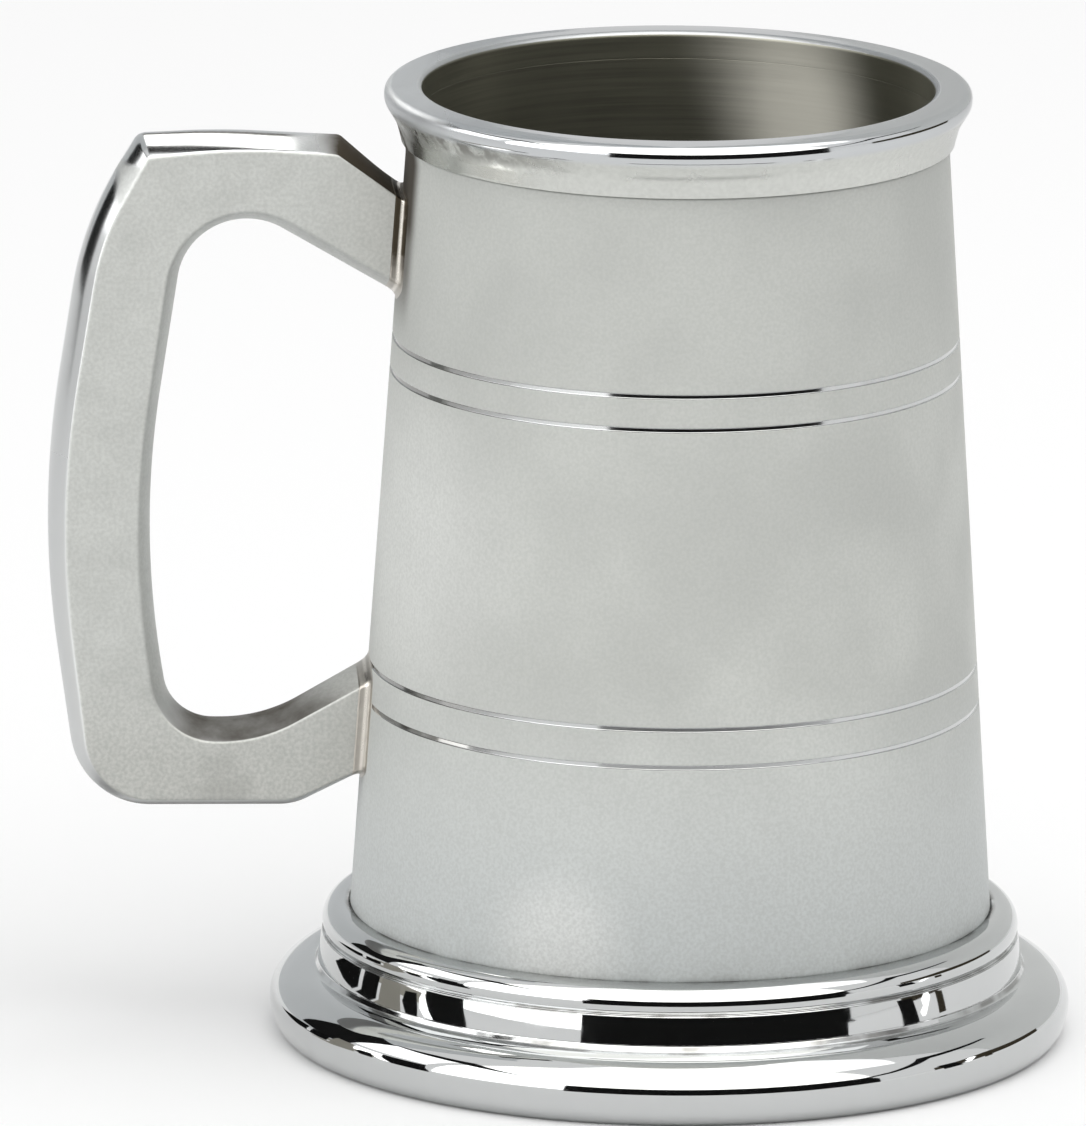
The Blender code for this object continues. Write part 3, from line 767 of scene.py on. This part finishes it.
def polished_finish(tones, foot, drum):
    """Mirror-polished pewter, slightly wavy from the buffing wheel, with painted shade in its creases and
    where it meets the drum.
    """
    finish = Finish("polished_pewter_finish")
    height = finish.height
    waves = finish.noise(110.0, 1.5, 0.45)
    haze = finish.noise(260.0, 4.0, 0.6)
    turning = finish.noise(300.0, 2.0, 0.5, (0.04, 0.04, 10.0))
    colour = finish.mix(haze, scaled(tones.polished, 0.98), scaled(tones.polished, 1.02))
    # Painted shade in the foot's two creases and where it meets the drum, broken into patches
    crease = 0.0
    for middle, width in ((FOOT_HEIGHT - foot.ovolo_drop + 0.05 * MM, 0.16 * MM),
                          (foot.roll_top + 0.3 * MM, 0.3 * MM)):
        crease = crease + (1.0 - abs(height - middle).ramp(0.4 * width, width))
    drum_side = drum.radius_at(FOOT_HEIGHT)
    against_drum = 1.0 - finish.reach.ramp(drum_side + 0.2 * MM, drum_side + 0.7 * MM)
    patches = finish.noise(150.0, 3.0, 0.6, offset=(0.3, 0.7, 0.1))
    painted_shade_and_dirt = crease * 0.55 + against_drum * height.rise(12.5, 13.0) * 0.8
    painted_shade_and_dirt = painted_shade_and_dirt * patches.ramp(0.42, 0.62)
    colour = finish.mix(painted_shade_and_dirt, colour, tones.painted_shade_and_dirt)
    rough = 0.035 + 0.05 * haze.ramp(0.5, 0.8) + 0.3 * painted_shade_and_dirt
    return finish.set(base_color=colour, roughness=rough,
                      normal=finish.bump(turning, 0.0008 * MM, 0.5, finish.bump(waves, 0.075 * MM, 0.5)))


def rim_finish(tones, drum):
    """Polished lip over a softer slope, with a bore as dull as the inside of the drum.

    The lip is blunt on the handle's side and dull along its inner edge. Painted shade darkens the
    slope over the handle, and painted dark reflections lie in patches under the lip to the left.
    """
    finish = Finish("polished_rim_pewter_finish")
    height = finish.height
    depth = finish.wall_depth(drum)
    waves = finish.noise(90.0, 1.0, 0.4)
    haze = finish.noise(260.0, 4.0, 0.6)
    inside = depth.ramp(drum.wall - 0.12 * MM, drum.wall - 0.04 * MM)
    edge = depth.ramp(drum.wall - 0.75 * MM, drum.wall - 0.25 * MM)
    dull, dull_rough, dull_relief = inside_look(finish, tones)
    bright = finish.mix(haze, scaled(tones.rim, 0.97), scaled(tones.rim, 1.03))
    bright = finish.mix(edge * 0.7, bright, scaled(tones.rim, 0.6))
    patches = finish.noise(420.0, 3.0, 0.6, offset=(0.2, 0.9, 0.4)).ramp(0.4, 0.6)
    # Painted shade on the slope over the handle, and painted dark reflections in patches under the lip on the
    # left
    over_handle = finish.beside_handle(1.0, 4.0) * height.fall(96.0, 98.2) * (0.45 + 0.55 * patches)
    under_lip = finish.x.fall(-24.0, -10.0) * patches * height.rise(95.5, 97.5) * height.fall(97.9, 98.3)
    painted_shade_and_dirt = over_handle.larger(under_lip * 0.65)
    slope = height.fall(97.6, 98.3)
    fine = finish.noise(2200.0, 1.0)
    soft = finish.mix(fine.ramp(0.25, 0.75) * 0.2, tones.rim_neck, scaled(tones.rim_neck, 0.6))
    bright = finish.mix(painted_shade_and_dirt, finish.mix(slope, bright, soft), tones.painted_shade_and_dirt)
    blunt = finish.x.fall(-26.8, -21.5) * (1.0 - slope)
    polished = 0.06 + 0.06 * haze.ramp(0.4, 0.8) + 0.3 * edge + 0.18 * slope + 0.45 * painted_shade_and_dirt + 0.34 * blunt
    scratched = finish.bump(dull_relief * inside, 0.007 * MM, 1.0)
    return finish.set(base_color=finish.mix(inside, bright, dull), specular_tint=(0.8, 0.8, 0.8),
                      roughness=polished * (1.0 - inside) + dull_rough * inside,
                      metallic=1.0 - (0.4 * inside).larger(0.8 * painted_shade_and_dirt),
                      normal=finish.bump(waves, 0.05 * MM, 0.5, scratched))


def cast_finish(tones):
    """Handle metal: satin and faintly mottled on the flat sides, polished on the crowned edges.

    The sides are darker and stained close to the drum and along the lower arm. The crown is satin
    inside the grip and blunter low down. Painted shade and painted dark reflections darken the
    crown at its upper end, inside the lower arm and underneath.
    """
    finish = Finish("cast_pewter_finish")
    height = finish.height
    reach = finish.reach
    flat = abs(finish.y).ramp(HANDLE_HALF - 0.14 * MM, HANDLE_HALF - 0.03 * MM)
    mottle = finish.noise(230.0, 4.0, 0.6)
    grain = finish.noise(2600.0, 1.0)
    stain = finish.noise(120.0, 3.0, 0.55, offset=(3.1, 1.7, 0.4)).ramp(0.52, 0.68)
    low = height.fall(26.0, 44.0)
    side = finish.mix(mottle.ramp(0.35, 0.7), scaled(tones.cast, 1.03), scaled(tones.cast, 0.95))
    side = finish.mix(stain * (0.10 + 0.45 * low), side, scaled(tones.cast, 0.5))
    # The flat sides turn darker and warmer near the drum and low down
    side = finish.mix(0.45 * low + 0.45 * reach.fall(29.0, 40.0), side, tones.darker_cast)
    side = finish.mix(grain.ramp(0.25, 0.75) * (0.24 + 0.14 * low), side, scaled(tones.cast, 0.5))
    # Painted dark reflections at the crown's upper end and inside the lower arm, and painted shade underneath
    upper_end = reach.fall(33.5, 38.5) * height.rise(84.5, 87.0)
    grip = reach.fall(57.3, 58.3) * height.fall(91.8, 92.6) * height.rise(34.0, 38.0) * (1.0 - upper_end)
    inner_arm = height.rise(30.5, 32.0) * height.fall(40.0, 45.0) * reach.fall(49.0, 55.0)
    underneath = 0.5 - 0.5 * height.rise(24.7, 25.5)
    painted_shade_and_dirt = upper_end * (0.8 + 0.9 * mottle) + inner_arm * (0.45 + 0.7 * mottle) + underneath
    painted_shade_and_dirt = painted_shade_and_dirt * (1.0 - flat)
    satin = flat.larger(0.8 * grip)
    crown = 0.42 - 0.30 * height.rise(48.0, 72.0) + 0.08 * mottle + 0.45 * painted_shade_and_dirt
    relief = (grain * 0.5 + mottle * 0.8) * satin + mottle * 0.5 * (1.0 - satin)
    edge = finish.mix(painted_shade_and_dirt, tones.polished, tones.painted_shade_and_dirt)
    finish.shader.inputs["Specular IOR Level"].default_value = 0.1
    return finish.set(base_color=finish.mix(satin, edge, side),
                      roughness=(0.52 + 0.1 * mottle) * satin + crown * (1.0 - satin),
                      metallic=1.0 - (0.4 * satin).larger(0.85 * painted_shade_and_dirt),
                      normal=finish.bump(relief, 0.008 * MM, 0.5))


def floor_finish(tones):
    """Dull floor of the drum with fine rings left by turning."""
    finish = Finish("dull_floor_pewter_finish")
    rings = finish.node("ShaderNodeTexNoise", {"noise_dimensions": "1D"},
                        {"W": finish.reach, "Scale": 4200.0, "Detail": 3.0}, "Fac")
    colour = finish.mix(rings, scaled(tones.inside, 0.8), scaled(tones.inside, 1.3))
    return finish.set(base_color=colour, roughness=0.34 + 0.12 * rings,
                      normal=finish.bump(rings, 0.004 * MM, 0.6))


def solder_finish(tones, drum, with_painted_shade=True):
    """Wiped solder; the visible solder has painted shade against the drum, at its outer edge and on top, and
    the hidden solder has dark patches of dirt.
    """
    finish = Finish("solder_finish" if with_painted_shade else "hidden_solder_finish")
    lumps = finish.noise(420.0, 3.0, 0.6)
    patches = finish.noise(900.0)
    if with_painted_shade:
        height = finish.height
        # Painted shade against the drum, at the solder's outer edge and on top, strongest on the upper solder
        clear = finish.reach - finish.drum_side(drum)
        kept = 0.4 + 0.8 * height.rise(80.0, 84.0)
        top = height.ramp(UPPER_SOLDER_TOP - 1.2 * MM, UPPER_SOLDER_TOP - 0.3 * MM)
        edges = clear.fall(0.22, 0.44) + clear.rise(0.52, 0.74)
        painted_shade_and_dirt = edges * (0.6 + 0.6 * patches) * kept + top
    else:
        # Random dark patches of dirt on the hidden solder
        painted_shade_and_dirt = patches.ramp(0.35, 0.65) * 0.4
    colour = finish.mix(painted_shade_and_dirt, tones.solder, tones.painted_shade_and_dirt)
    return finish.set(base_color=colour, roughness=0.22 + 0.25 * painted_shade_and_dirt + 0.1 * lumps,
                      normal=finish.bump(lumps, 0.03 * MM, 0.6))


class TankardOperator:
    """What all of the tankard's operators share."""

    bl_options = {"REGISTER", "UNDO"}


class TANKARD_OT_drum(TankardOperator, bpy.types.Operator):
    """Make the tapered drum with its turned grooves"""

    bl_idname = "tankard.drum"
    bl_label = "Drum"

    def execute(self, context):
        scene = context.scene
        drum = scene.tankard_drum
        piece = turned("drum_shell", drum_profile(drum))
        settle(piece, satin_finish(scene.tankard_tones, drum), "satin_pewter", "drum")
        return {"FINISHED"}


class TANKARD_OT_rim(TankardOperator, bpy.types.Operator):
    """Make the moulded rim round the mouth"""

    bl_idname = "tankard.rim"
    bl_label = "Mouth rim"

    def execute(self, context):
        scene = context.scene
        drum = scene.tankard_drum
        piece = turned("mouth_rim_shell", rim_profile(scene.tankard_rim, drum))
        settle(piece, rim_finish(scene.tankard_tones, drum), "polished_rim_pewter", "mouth_rim")
        return {"FINISHED"}


class TANKARD_OT_foot(TankardOperator, bpy.types.Operator):
    """Make the hollow moulded foot"""

    bl_idname = "tankard.foot"
    bl_label = "Foot"

    def execute(self, context):
        scene = context.scene
        foot = scene.tankard_foot
        drum = scene.tankard_drum
        piece = turned("foot_shell", foot_profile(foot, drum))
        settle(piece, polished_finish(scene.tankard_tones, foot, drum), "polished_pewter", "foot_moulding")
        return {"FINISHED"}


class TANKARD_OT_handle(TankardOperator, bpy.types.Operator):
    """Make the cast handle and the solder at its two ends"""

    bl_idname = "tankard.handle"
    bl_label = "Handle"

    def execute(self, context):
        scene = context.scene
        drum = scene.tankard_drum
        handle = scene.tankard_handle
        rows = handle_rows(handle)
        piece = mesh_from_grid("handle_casting", rows, cap_ends=True)
        settle(piece, cast_finish(scene.tankard_tones), "cast_pewter", "handle")
        solder = solder_finish(scene.tankard_tones, drum)
        for name, end, beyond in (("upper", rows[0], rows[END_ROWS]),
                                  ("lower", rows[-1], rows[-1 - END_ROWS])):
            grid = solder_grid(end, beyond, drum, handle)
            collar = mesh_from_grid(name + "_solder_collar", grid, close_rows=True)
            settle(collar, solder, "solder", name + "_handle_solder")
        return {"FINISHED"}


class TANKARD_OT_floor(TankardOperator, bpy.types.Operator):
    """Finish the floor and make the hidden solder joints"""

    bl_idname = "tankard.floor"
    bl_label = "Floor and hidden joints"

    def execute(self, context):
        tones = context.scene.tankard_tones
        drum = context.scene.tankard_drum
        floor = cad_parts["floor_disc"]
        floor.data.materials.clear()
        floor.data.materials.append(floor_finish(tones))
        bore = drum.bore_at(FLOOR_TOP)
        shelf = DRUM_BOTTOM_RADIUS - drum.wall - SHELF_REACH
        inner = drum.bore_at(SPIGOT_TOP) + 0.35 * MM
        outer = drum.radius_at(RIM_JOINT) - 0.4 * MM
        low, high = SPIGOT_TOP + 0.03 * MM, SPIGOT_TOP + 0.45 * MM
        profiles = {"floor": fillet_ring((bore, FLOOR_TOP), -1.0, 1.0),
                    "foot": fillet_ring((shelf, DRUM_BOTTOM), -1.0, -1.0),
                    "rim": np.array([(inner, low), (outer, low), (outer, high), (inner, high)])}
        plain = solder_finish(tones, drum, with_painted_shade=False)
        for name, profile in profiles.items():
            ring = turned(name + "_solder_ring", profile, HIDDEN_SEGMENTS)
            settle(ring, plain, "solder", name + "_solder")
        return {"FINISHED"}


def place_lamp(name, light, place, target):
    """Put a lamp at a place, turned towards a target."""
    lamp = bpy.data.objects.new(name, light)
    lamp.location = place
    lamp.rotation_euler = (Vector(target) - Vector(place)).to_track_quat("-Z", "Y").to_euler()
    bpy.context.scene.collection.objects.link(lamp)
    return lamp


def plain_material(name, colour, strength=0.0):
    """A matt card or paper, or a card that gives its own even light."""
    material = bpy.data.materials.new(name)
    material.use_nodes = True
    shader = material.node_tree.nodes["Principled BSDF"]
    shader.inputs["Base Color"].default_value = (*colour, 1.0)
    shader.inputs["Roughness"].default_value = 1.0
    shader.inputs["Specular IOR Level"].default_value = 0.0
    if strength > 0.0:
        shader.inputs["Emission Color"].default_value = (*colour, 1.0)
        shader.inputs["Emission Strength"].default_value = strength
    return material


def polar(bearing, distance, height):
    """Points at bearings in degrees round the drum's axis, from the camera's side to the right."""
    turn = np.radians(np.asarray(bearing, dtype=float) - 90.0) - bpy.context.scene.tankard_studio.bearing
    level = (AXIS_X + distance * np.cos(turn), distance * np.sin(turn))
    return np.stack(np.broadcast_arrays(*level, height), axis=-1)


def place_card(piece, material):
    """Give a card its material and hide it from the camera, diffuse light and shadows, so that only polished
    metal sees it.
    """
    piece.data.materials.append(material)
    piece.visible_camera = False
    piece.visible_diffuse = False
    piece.visible_shadow = False


def card(name, material, *edges):
    """A curved card between edges, from the lowest to the highest, that only polished metal sees.

    Each edge is a list of (bearing, distance, height) points from left to right, in degrees and
    millimetres. Between two of them the distance and the height change evenly with the bearing.
    """
    rows = []
    for edge in edges:
        bearing, distance, height = np.array(edge, dtype=float).T
        across = np.linspace(bearing[0], bearing[-1], 81)
        rows.append(polar(across, MM * np.interp(across, bearing, distance),
                          MM * np.interp(across, bearing, height)))
    place_card(mesh_from_grid(name, np.array(rows), close_columns=False), material)


def band(bearings, *profile):
    """Level edges of a card: the same (distance, height) all the way between two bearings."""
    return [[(bearing, distance, height) for bearing in bearings] for distance, height in profile]


def sheet(distance, *rows):
    """Edges of a card at one distance, from rows of (left bearing, right bearing, height).

    A row with a second height gives the edge's height at its right end.
    """
    return [[(row[0], distance, row[2]), (row[1], distance, row[-1])] for row in rows]


def arched(*points, distance=900.0):
    """An edge through (bearing, elevation) points in degrees, at one distance from the tankard."""
    return [(bearing, distance * math.cos(math.radians(rise)), distance * math.sin(math.radians(rise)))
            for bearing, rise in points]


class TANKARD_OT_stage(TankardOperator, bpy.types.Operator):
    """Add the table, the studio light and the camera"""

    bl_idname = "tankard.stage"
    bl_label = "Stage"

    def execute(self, context):
        scene = context.scene
        studio = scene.tankard_studio
        self.bright = plain_material("softbox_card", (1.0, 1.0, 1.0), studio.softbox_level)
        self.dark = plain_material("dark_room_card", (studio.dark_room,) * 3)
        self.beige = plain_material("beige_card", (0.42, 0.40, 0.35))
        self.brown = plain_material("brown_room_card", (0.06, 0.05, 0.035))
        self.add_table()
        self.light_room(scene, studio)
        self.add_lamps(studio)
        self.add_lights_of_room(studio)
        self.add_unlit_room()
        self.add_shapes_in_foot()
        self.add_handle_cards(studio)
        self.add_camera(scene, studio)
        return {"FINISHED"}

    def add_lamps(self, studio):
        """A softbox overhead, and a narrow spot that reaches over the lip to the far inside wall."""
        softbox = bpy.data.lights.new("overhead_softbox", "AREA")
        softbox.shape = "RECTANGLE"
        softbox.size = softbox.size_y = 1.2
        softbox.energy = studio.overhead_power
        lamp = place_lamp("overhead_softbox", softbox, polar(50.0, 0.35, 1.2), (AXIS_X, 0.0, 0.05))
        lamp.visible_camera = False
        spot = bpy.data.lights.new("mouth_spot", "SPOT")
        spot.energy = studio.mouth_power
        spot.color = (0.88, 0.87, 1.0)
        spot.spot_size = math.radians(1.02)
        spot.spot_blend = 0.75
        spot.shadow_soft_size = 0.004
        target = Vector(polar(152.0, 0.0265, 0.0915))
        steep = math.radians(50.0)
        back = Vector(polar(-49.0, math.cos(steep), math.sin(steep))) - Vector((AXIS_X, 0.0, 0.0))
        lamp = place_lamp("mouth_spot", spot, target + back, target)
        lamp.visible_glossy = False

    def add_lights_of_room(self, studio):
        """What shines in the room: a tall softbox, a cloth over the camera, a window and small gaps."""
        bright = self.bright
        cloth = plain_material("white_cloth_card", (1.0, 0.985, 0.95), studio.cloth_level)
        window = plain_material("window_card", (1.0, 1.0, 1.0), studio.window_level)
        card("tall_softbox", bright, *band((-69.0, -26.5), (750, 5), (750, 700)))
        card("white_cloth", cloth, *band((-69.0, 60.0), (1120, 300), (1300, 750), (1000, 1250), (350, 1500)))
        card("left_window", window, *band((-101.2, -72.0), (500, 160), (500, 430)))
        card("left_gap", bright, *sheet(74, (-66.6, -63.6, 2.0), (-68.6, -65.2, 4.5), (-69.0, -66.4, 7.5),
                                        (-68.2, -67.2, 9.8)))
        card("right_gap", bright, *sheet(74, (70.2, 71.4, 3.2), (69.4, 72.0, 4.8), (70.6, 72.6, 6.6),
                                         (70.0, 73.4, 8.8), (71.2, 72.8, 10.4)))

    def add_unlit_room(self):
        """The unlit room: low and far past the table, in high strips, and grey walls behind."""
        dark = self.dark
        card("far_front_card", dark, *band((-26.0, 60.0), (330, 1), (1100, 1), (1100, 300)))
        card("far_left_card", self.beige, *band((-101.5, -68.0), (150, 1)),
             [(-101.5, 150, 10), (-90.0, 150, 16), (-68.0, 150, 14)])
        card("far_right_card", self.brown, *band((80.0, 128.0), (650, 1), (1100, 1)),
             [(80.0, 1100, 140), (100.0, 1100, 200), (128.0, 1100, 100)])
        card("left_wall", dark, *sheet(500, (-126.0, -101.5, 60, 40), (-126.0, -101.5, 480, 420)))
        card("high_left_strip", dark, arched((-104.0, 34.0), (-90.0, 38.0), (-73.0, 41.0), (-46.0, 34.5)),
             arched((-104.0, 42.0), (-90.0, 46.0), (-73.0, 48.0), (-60.0, 42.0), (-46.0, 35.5)))
        card("high_right_strip", dark, arched((50.0, 11.0), (67.0, 18.0), (90.0, 35.0), (120.0, 33.0)),
             arched((50.0, 13.0), (67.0, 22.0), (90.0, 41.0), (120.0, 35.0)))
        for side, colour, bearings in (("left", (0.72, 0.74, 0.75), (-179.0, -104.0)),
                                       ("right", (0.82, 0.83, 0.82), (104.0, 179.0))):
            grey = plain_material(side + "_grey_card", colour)
            card(side + "_grey_wall", grey, *band(bearings, (1400, 60), (1400, 1000), (700, 1700)))

    def add_shapes_in_foot(self):
        """Small cards close to the foot, for the shapes that its polished band mirrors."""
        dark = self.dark
        card("low_front_card", dark, *band((-21.6, 46.0), (75, 1)),
             [(-21.6, 75, 15.5), (42.5, 75, 15.2), (44.6, 75, 13.5), (46.0, 75, 9.5)])
        card("left_post", dark, *band((-69.5, -62.5), (115, 12), (115, 22)))
        card("leaf_card", dark, [(-111.5, 68, 2.4), (-104.0, 68, 0.9), (-97.6, 68, 0.6)],
             [(-111.5, 75, 2.6), (-104.0, 75, 1.2), (-97.0, 75, 1.0)],
             [(-111.5, 75, 2.8), (-107.0, 75, 5.0), (-102.0, 75, 6.8), (-96.0, 75, 8.4)])
        card("stem_card", dark, *sheet(68, (-95.6, -87.6, 0.6)),
             *sheet(75, (-95.2, -87.2, 1.0), (-94.0, -86.0, 8.8, 9.6)))
        card("beige_card", self.beige, *band((-86.0, -76.0), (58, 0.6), (75, 1)),
             *sheet(75, (-84.0, -77.5, 14.0)))
        card("left_blob", dark, *sheet(75, (-74.0, -69.5, 1.0), (-75.6, -69.6, 4.5),
                                       (-74.6, -70.4, 8.2, 9.0)))
        card("left_strip", dark, *sheet(75, (-63.6, -52.8, 1.0), (-65.6, -53.2, 4.5), (-67.0, -54.2, 8.5),
                                        (-67.4, -54.8, 14.0, 15.0)))
        card("right_strip", dark, *sheet(75, (63.5, 69.5, 1.0), (62.8, 68.2, 6.0), (61.6, 67.0, 11.2, 10.4)))
        card("right_stem", self.brown, *sheet(75, (76.8, 79.6, 1.8), (75.6, 78.4, 9.8, 9.0)))

    def add_handle_cards(self, studio):
        """A glint low on the left, and an awning behind the handle's top, darker before and behind."""
        cloth = plain_material("awning_cloth", (1.0, 0.99, 0.97), studio.softbox_level)
        shade = plain_material("awning_shade", (0.16, 0.15, 0.13))
        card("left_glint", cloth, *band((-86.0, -72.0), (115, 9.5), (115, 24)))
        left, right = AXIS_X - 60.0 * MM, AXIS_X - 37.0 * MM
        front, middle, back, low_back = (-0.0026, 0.117), (0.0058, 0.117), (0.0424, 0.117), (0.0424, 0.107)
        for name, material, edges in (("awning_front", self.dark, (front, middle)),
                                      ("awning_middle", cloth, (middle, back)),
                                      ("awning_back", shade, (back, low_back))):
            points = np.array([[(x, y, z) for x in (left, right)] for y, z in edges])
            place_card(mesh_from_grid(name, points, close_columns=False), material)

    def add_table(self):
        """A wide disc of pale paper under the tankard."""
        angles = np.linspace(0.0, 2.0 * np.pi, 96, endpoint=False)
        rings = np.array([1e-4, 0.2, 0.8, 3.0])[:, None]
        points = np.stack([AXIS_X + rings * np.cos(angles), rings * np.sin(angles),
                           np.zeros((len(rings), len(angles)))], axis=-1)
        table = mesh_from_grid("table", points)
        table.data.materials.append(plain_material("pale_paper", (0.97, 0.97, 0.97)))

    def light_room(self, scene, studio):
        """An even room that a camera, a mirror or glass sees as white."""
        scene.world = bpy.data.worlds.new("pale_room")
        scene.world.use_nodes = True
        room = Nodes(scene.world.node_tree)
        camera, mirror, glass = (room.node("ShaderNodeLightPath", {}, {}, name)
                                 for name in ("Is Camera Ray", "Is Glossy Ray", "Is Transmission Ray"))
        white = (1.0, 1.0, 1.0)
        even, seen = (room.node("ShaderNodeBackground", {}, {"Color": white, "Strength": strength})
                      for strength in (studio.world_strength, 1.0))
        by_eye = camera.larger(mirror).larger(glass)
        both = room.node("ShaderNodeMixShader", {}, {0: by_eye, 1: even, 2: seen})
        room.feed(room.tree.nodes["World Output"].inputs["Surface"], both)

    def add_camera(self, scene, studio):
        """The camera stands at its bearing, and is turned by the yaw, tilted by the pitch and rolled."""
        data = bpy.data.cameras.new("camera")
        data.sensor_fit = "AUTO"
        data.sensor_width = 36.0
        data.lens = studio.lens
        data.clip_end = 20.0
        camera = bpy.data.objects.new("camera", data)
        scene.collection.objects.link(camera)
        camera.matrix_world = (Matrix.Translation((AXIS_X, 0.0, 0.0))
                               @ Matrix.Rotation(-studio.bearing, 4, "Z")
                               @ Matrix.Translation((0.0, -studio.distance, studio.height))
                               @ Matrix.Rotation(-studio.yaw, 4, "Z")
                               @ Matrix.Rotation(math.pi / 2.0 - studio.pitch, 4, "X")
                               @ Matrix.Rotation(studio.roll, 4, "Z"))
        scene.camera = camera
        scene.view_settings.view_transform = "Standard"


OPERATORS = (TANKARD_OT_drum, TANKARD_OT_rim, TANKARD_OT_foot, TANKARD_OT_handle, TANKARD_OT_floor,
             TANKARD_OT_stage)


class TANKARD_PT_build(bpy.types.Panel):
    """Sizes, colours and makers of the tankard's pieces"""

    bl_idname = "TANKARD_PT_build"
    bl_label = "Christening Tankard"
    bl_space_type = "VIEW_3D"
    bl_region_type = "UI"
    bl_category = "Tankard"

    def draw(self, context):
        for name, group in SIZE_GROUPS.items():
            box = self.layout.box()
            box.label(text=group.__doc__)
            for prop in group.__annotations__:
                box.prop(getattr(context.scene, name), prop)
        for operator in OPERATORS:
            self.layout.operator(operator.bl_idname)


CLASSES = (*SIZE_GROUPS.values(), *OPERATORS, TANKARD_PT_build)


def register():
    for cls in CLASSES:
        bpy.utils.register_class(cls)
    for name, group in SIZE_GROUPS.items():
        setattr(bpy.types.Scene, name, PointerProperty(type=group))


def unregister():
    for name in SIZE_GROUPS:
        delattr(bpy.types.Scene, name)
    for cls in reversed(CLASSES):
        bpy.utils.unregister_class(cls)


def main():
    register()
    for operator in OPERATORS:
        getattr(bpy.ops.tankard, operator.bl_idname.split(".")[1])()


if __name__ == "__main__":
    main()
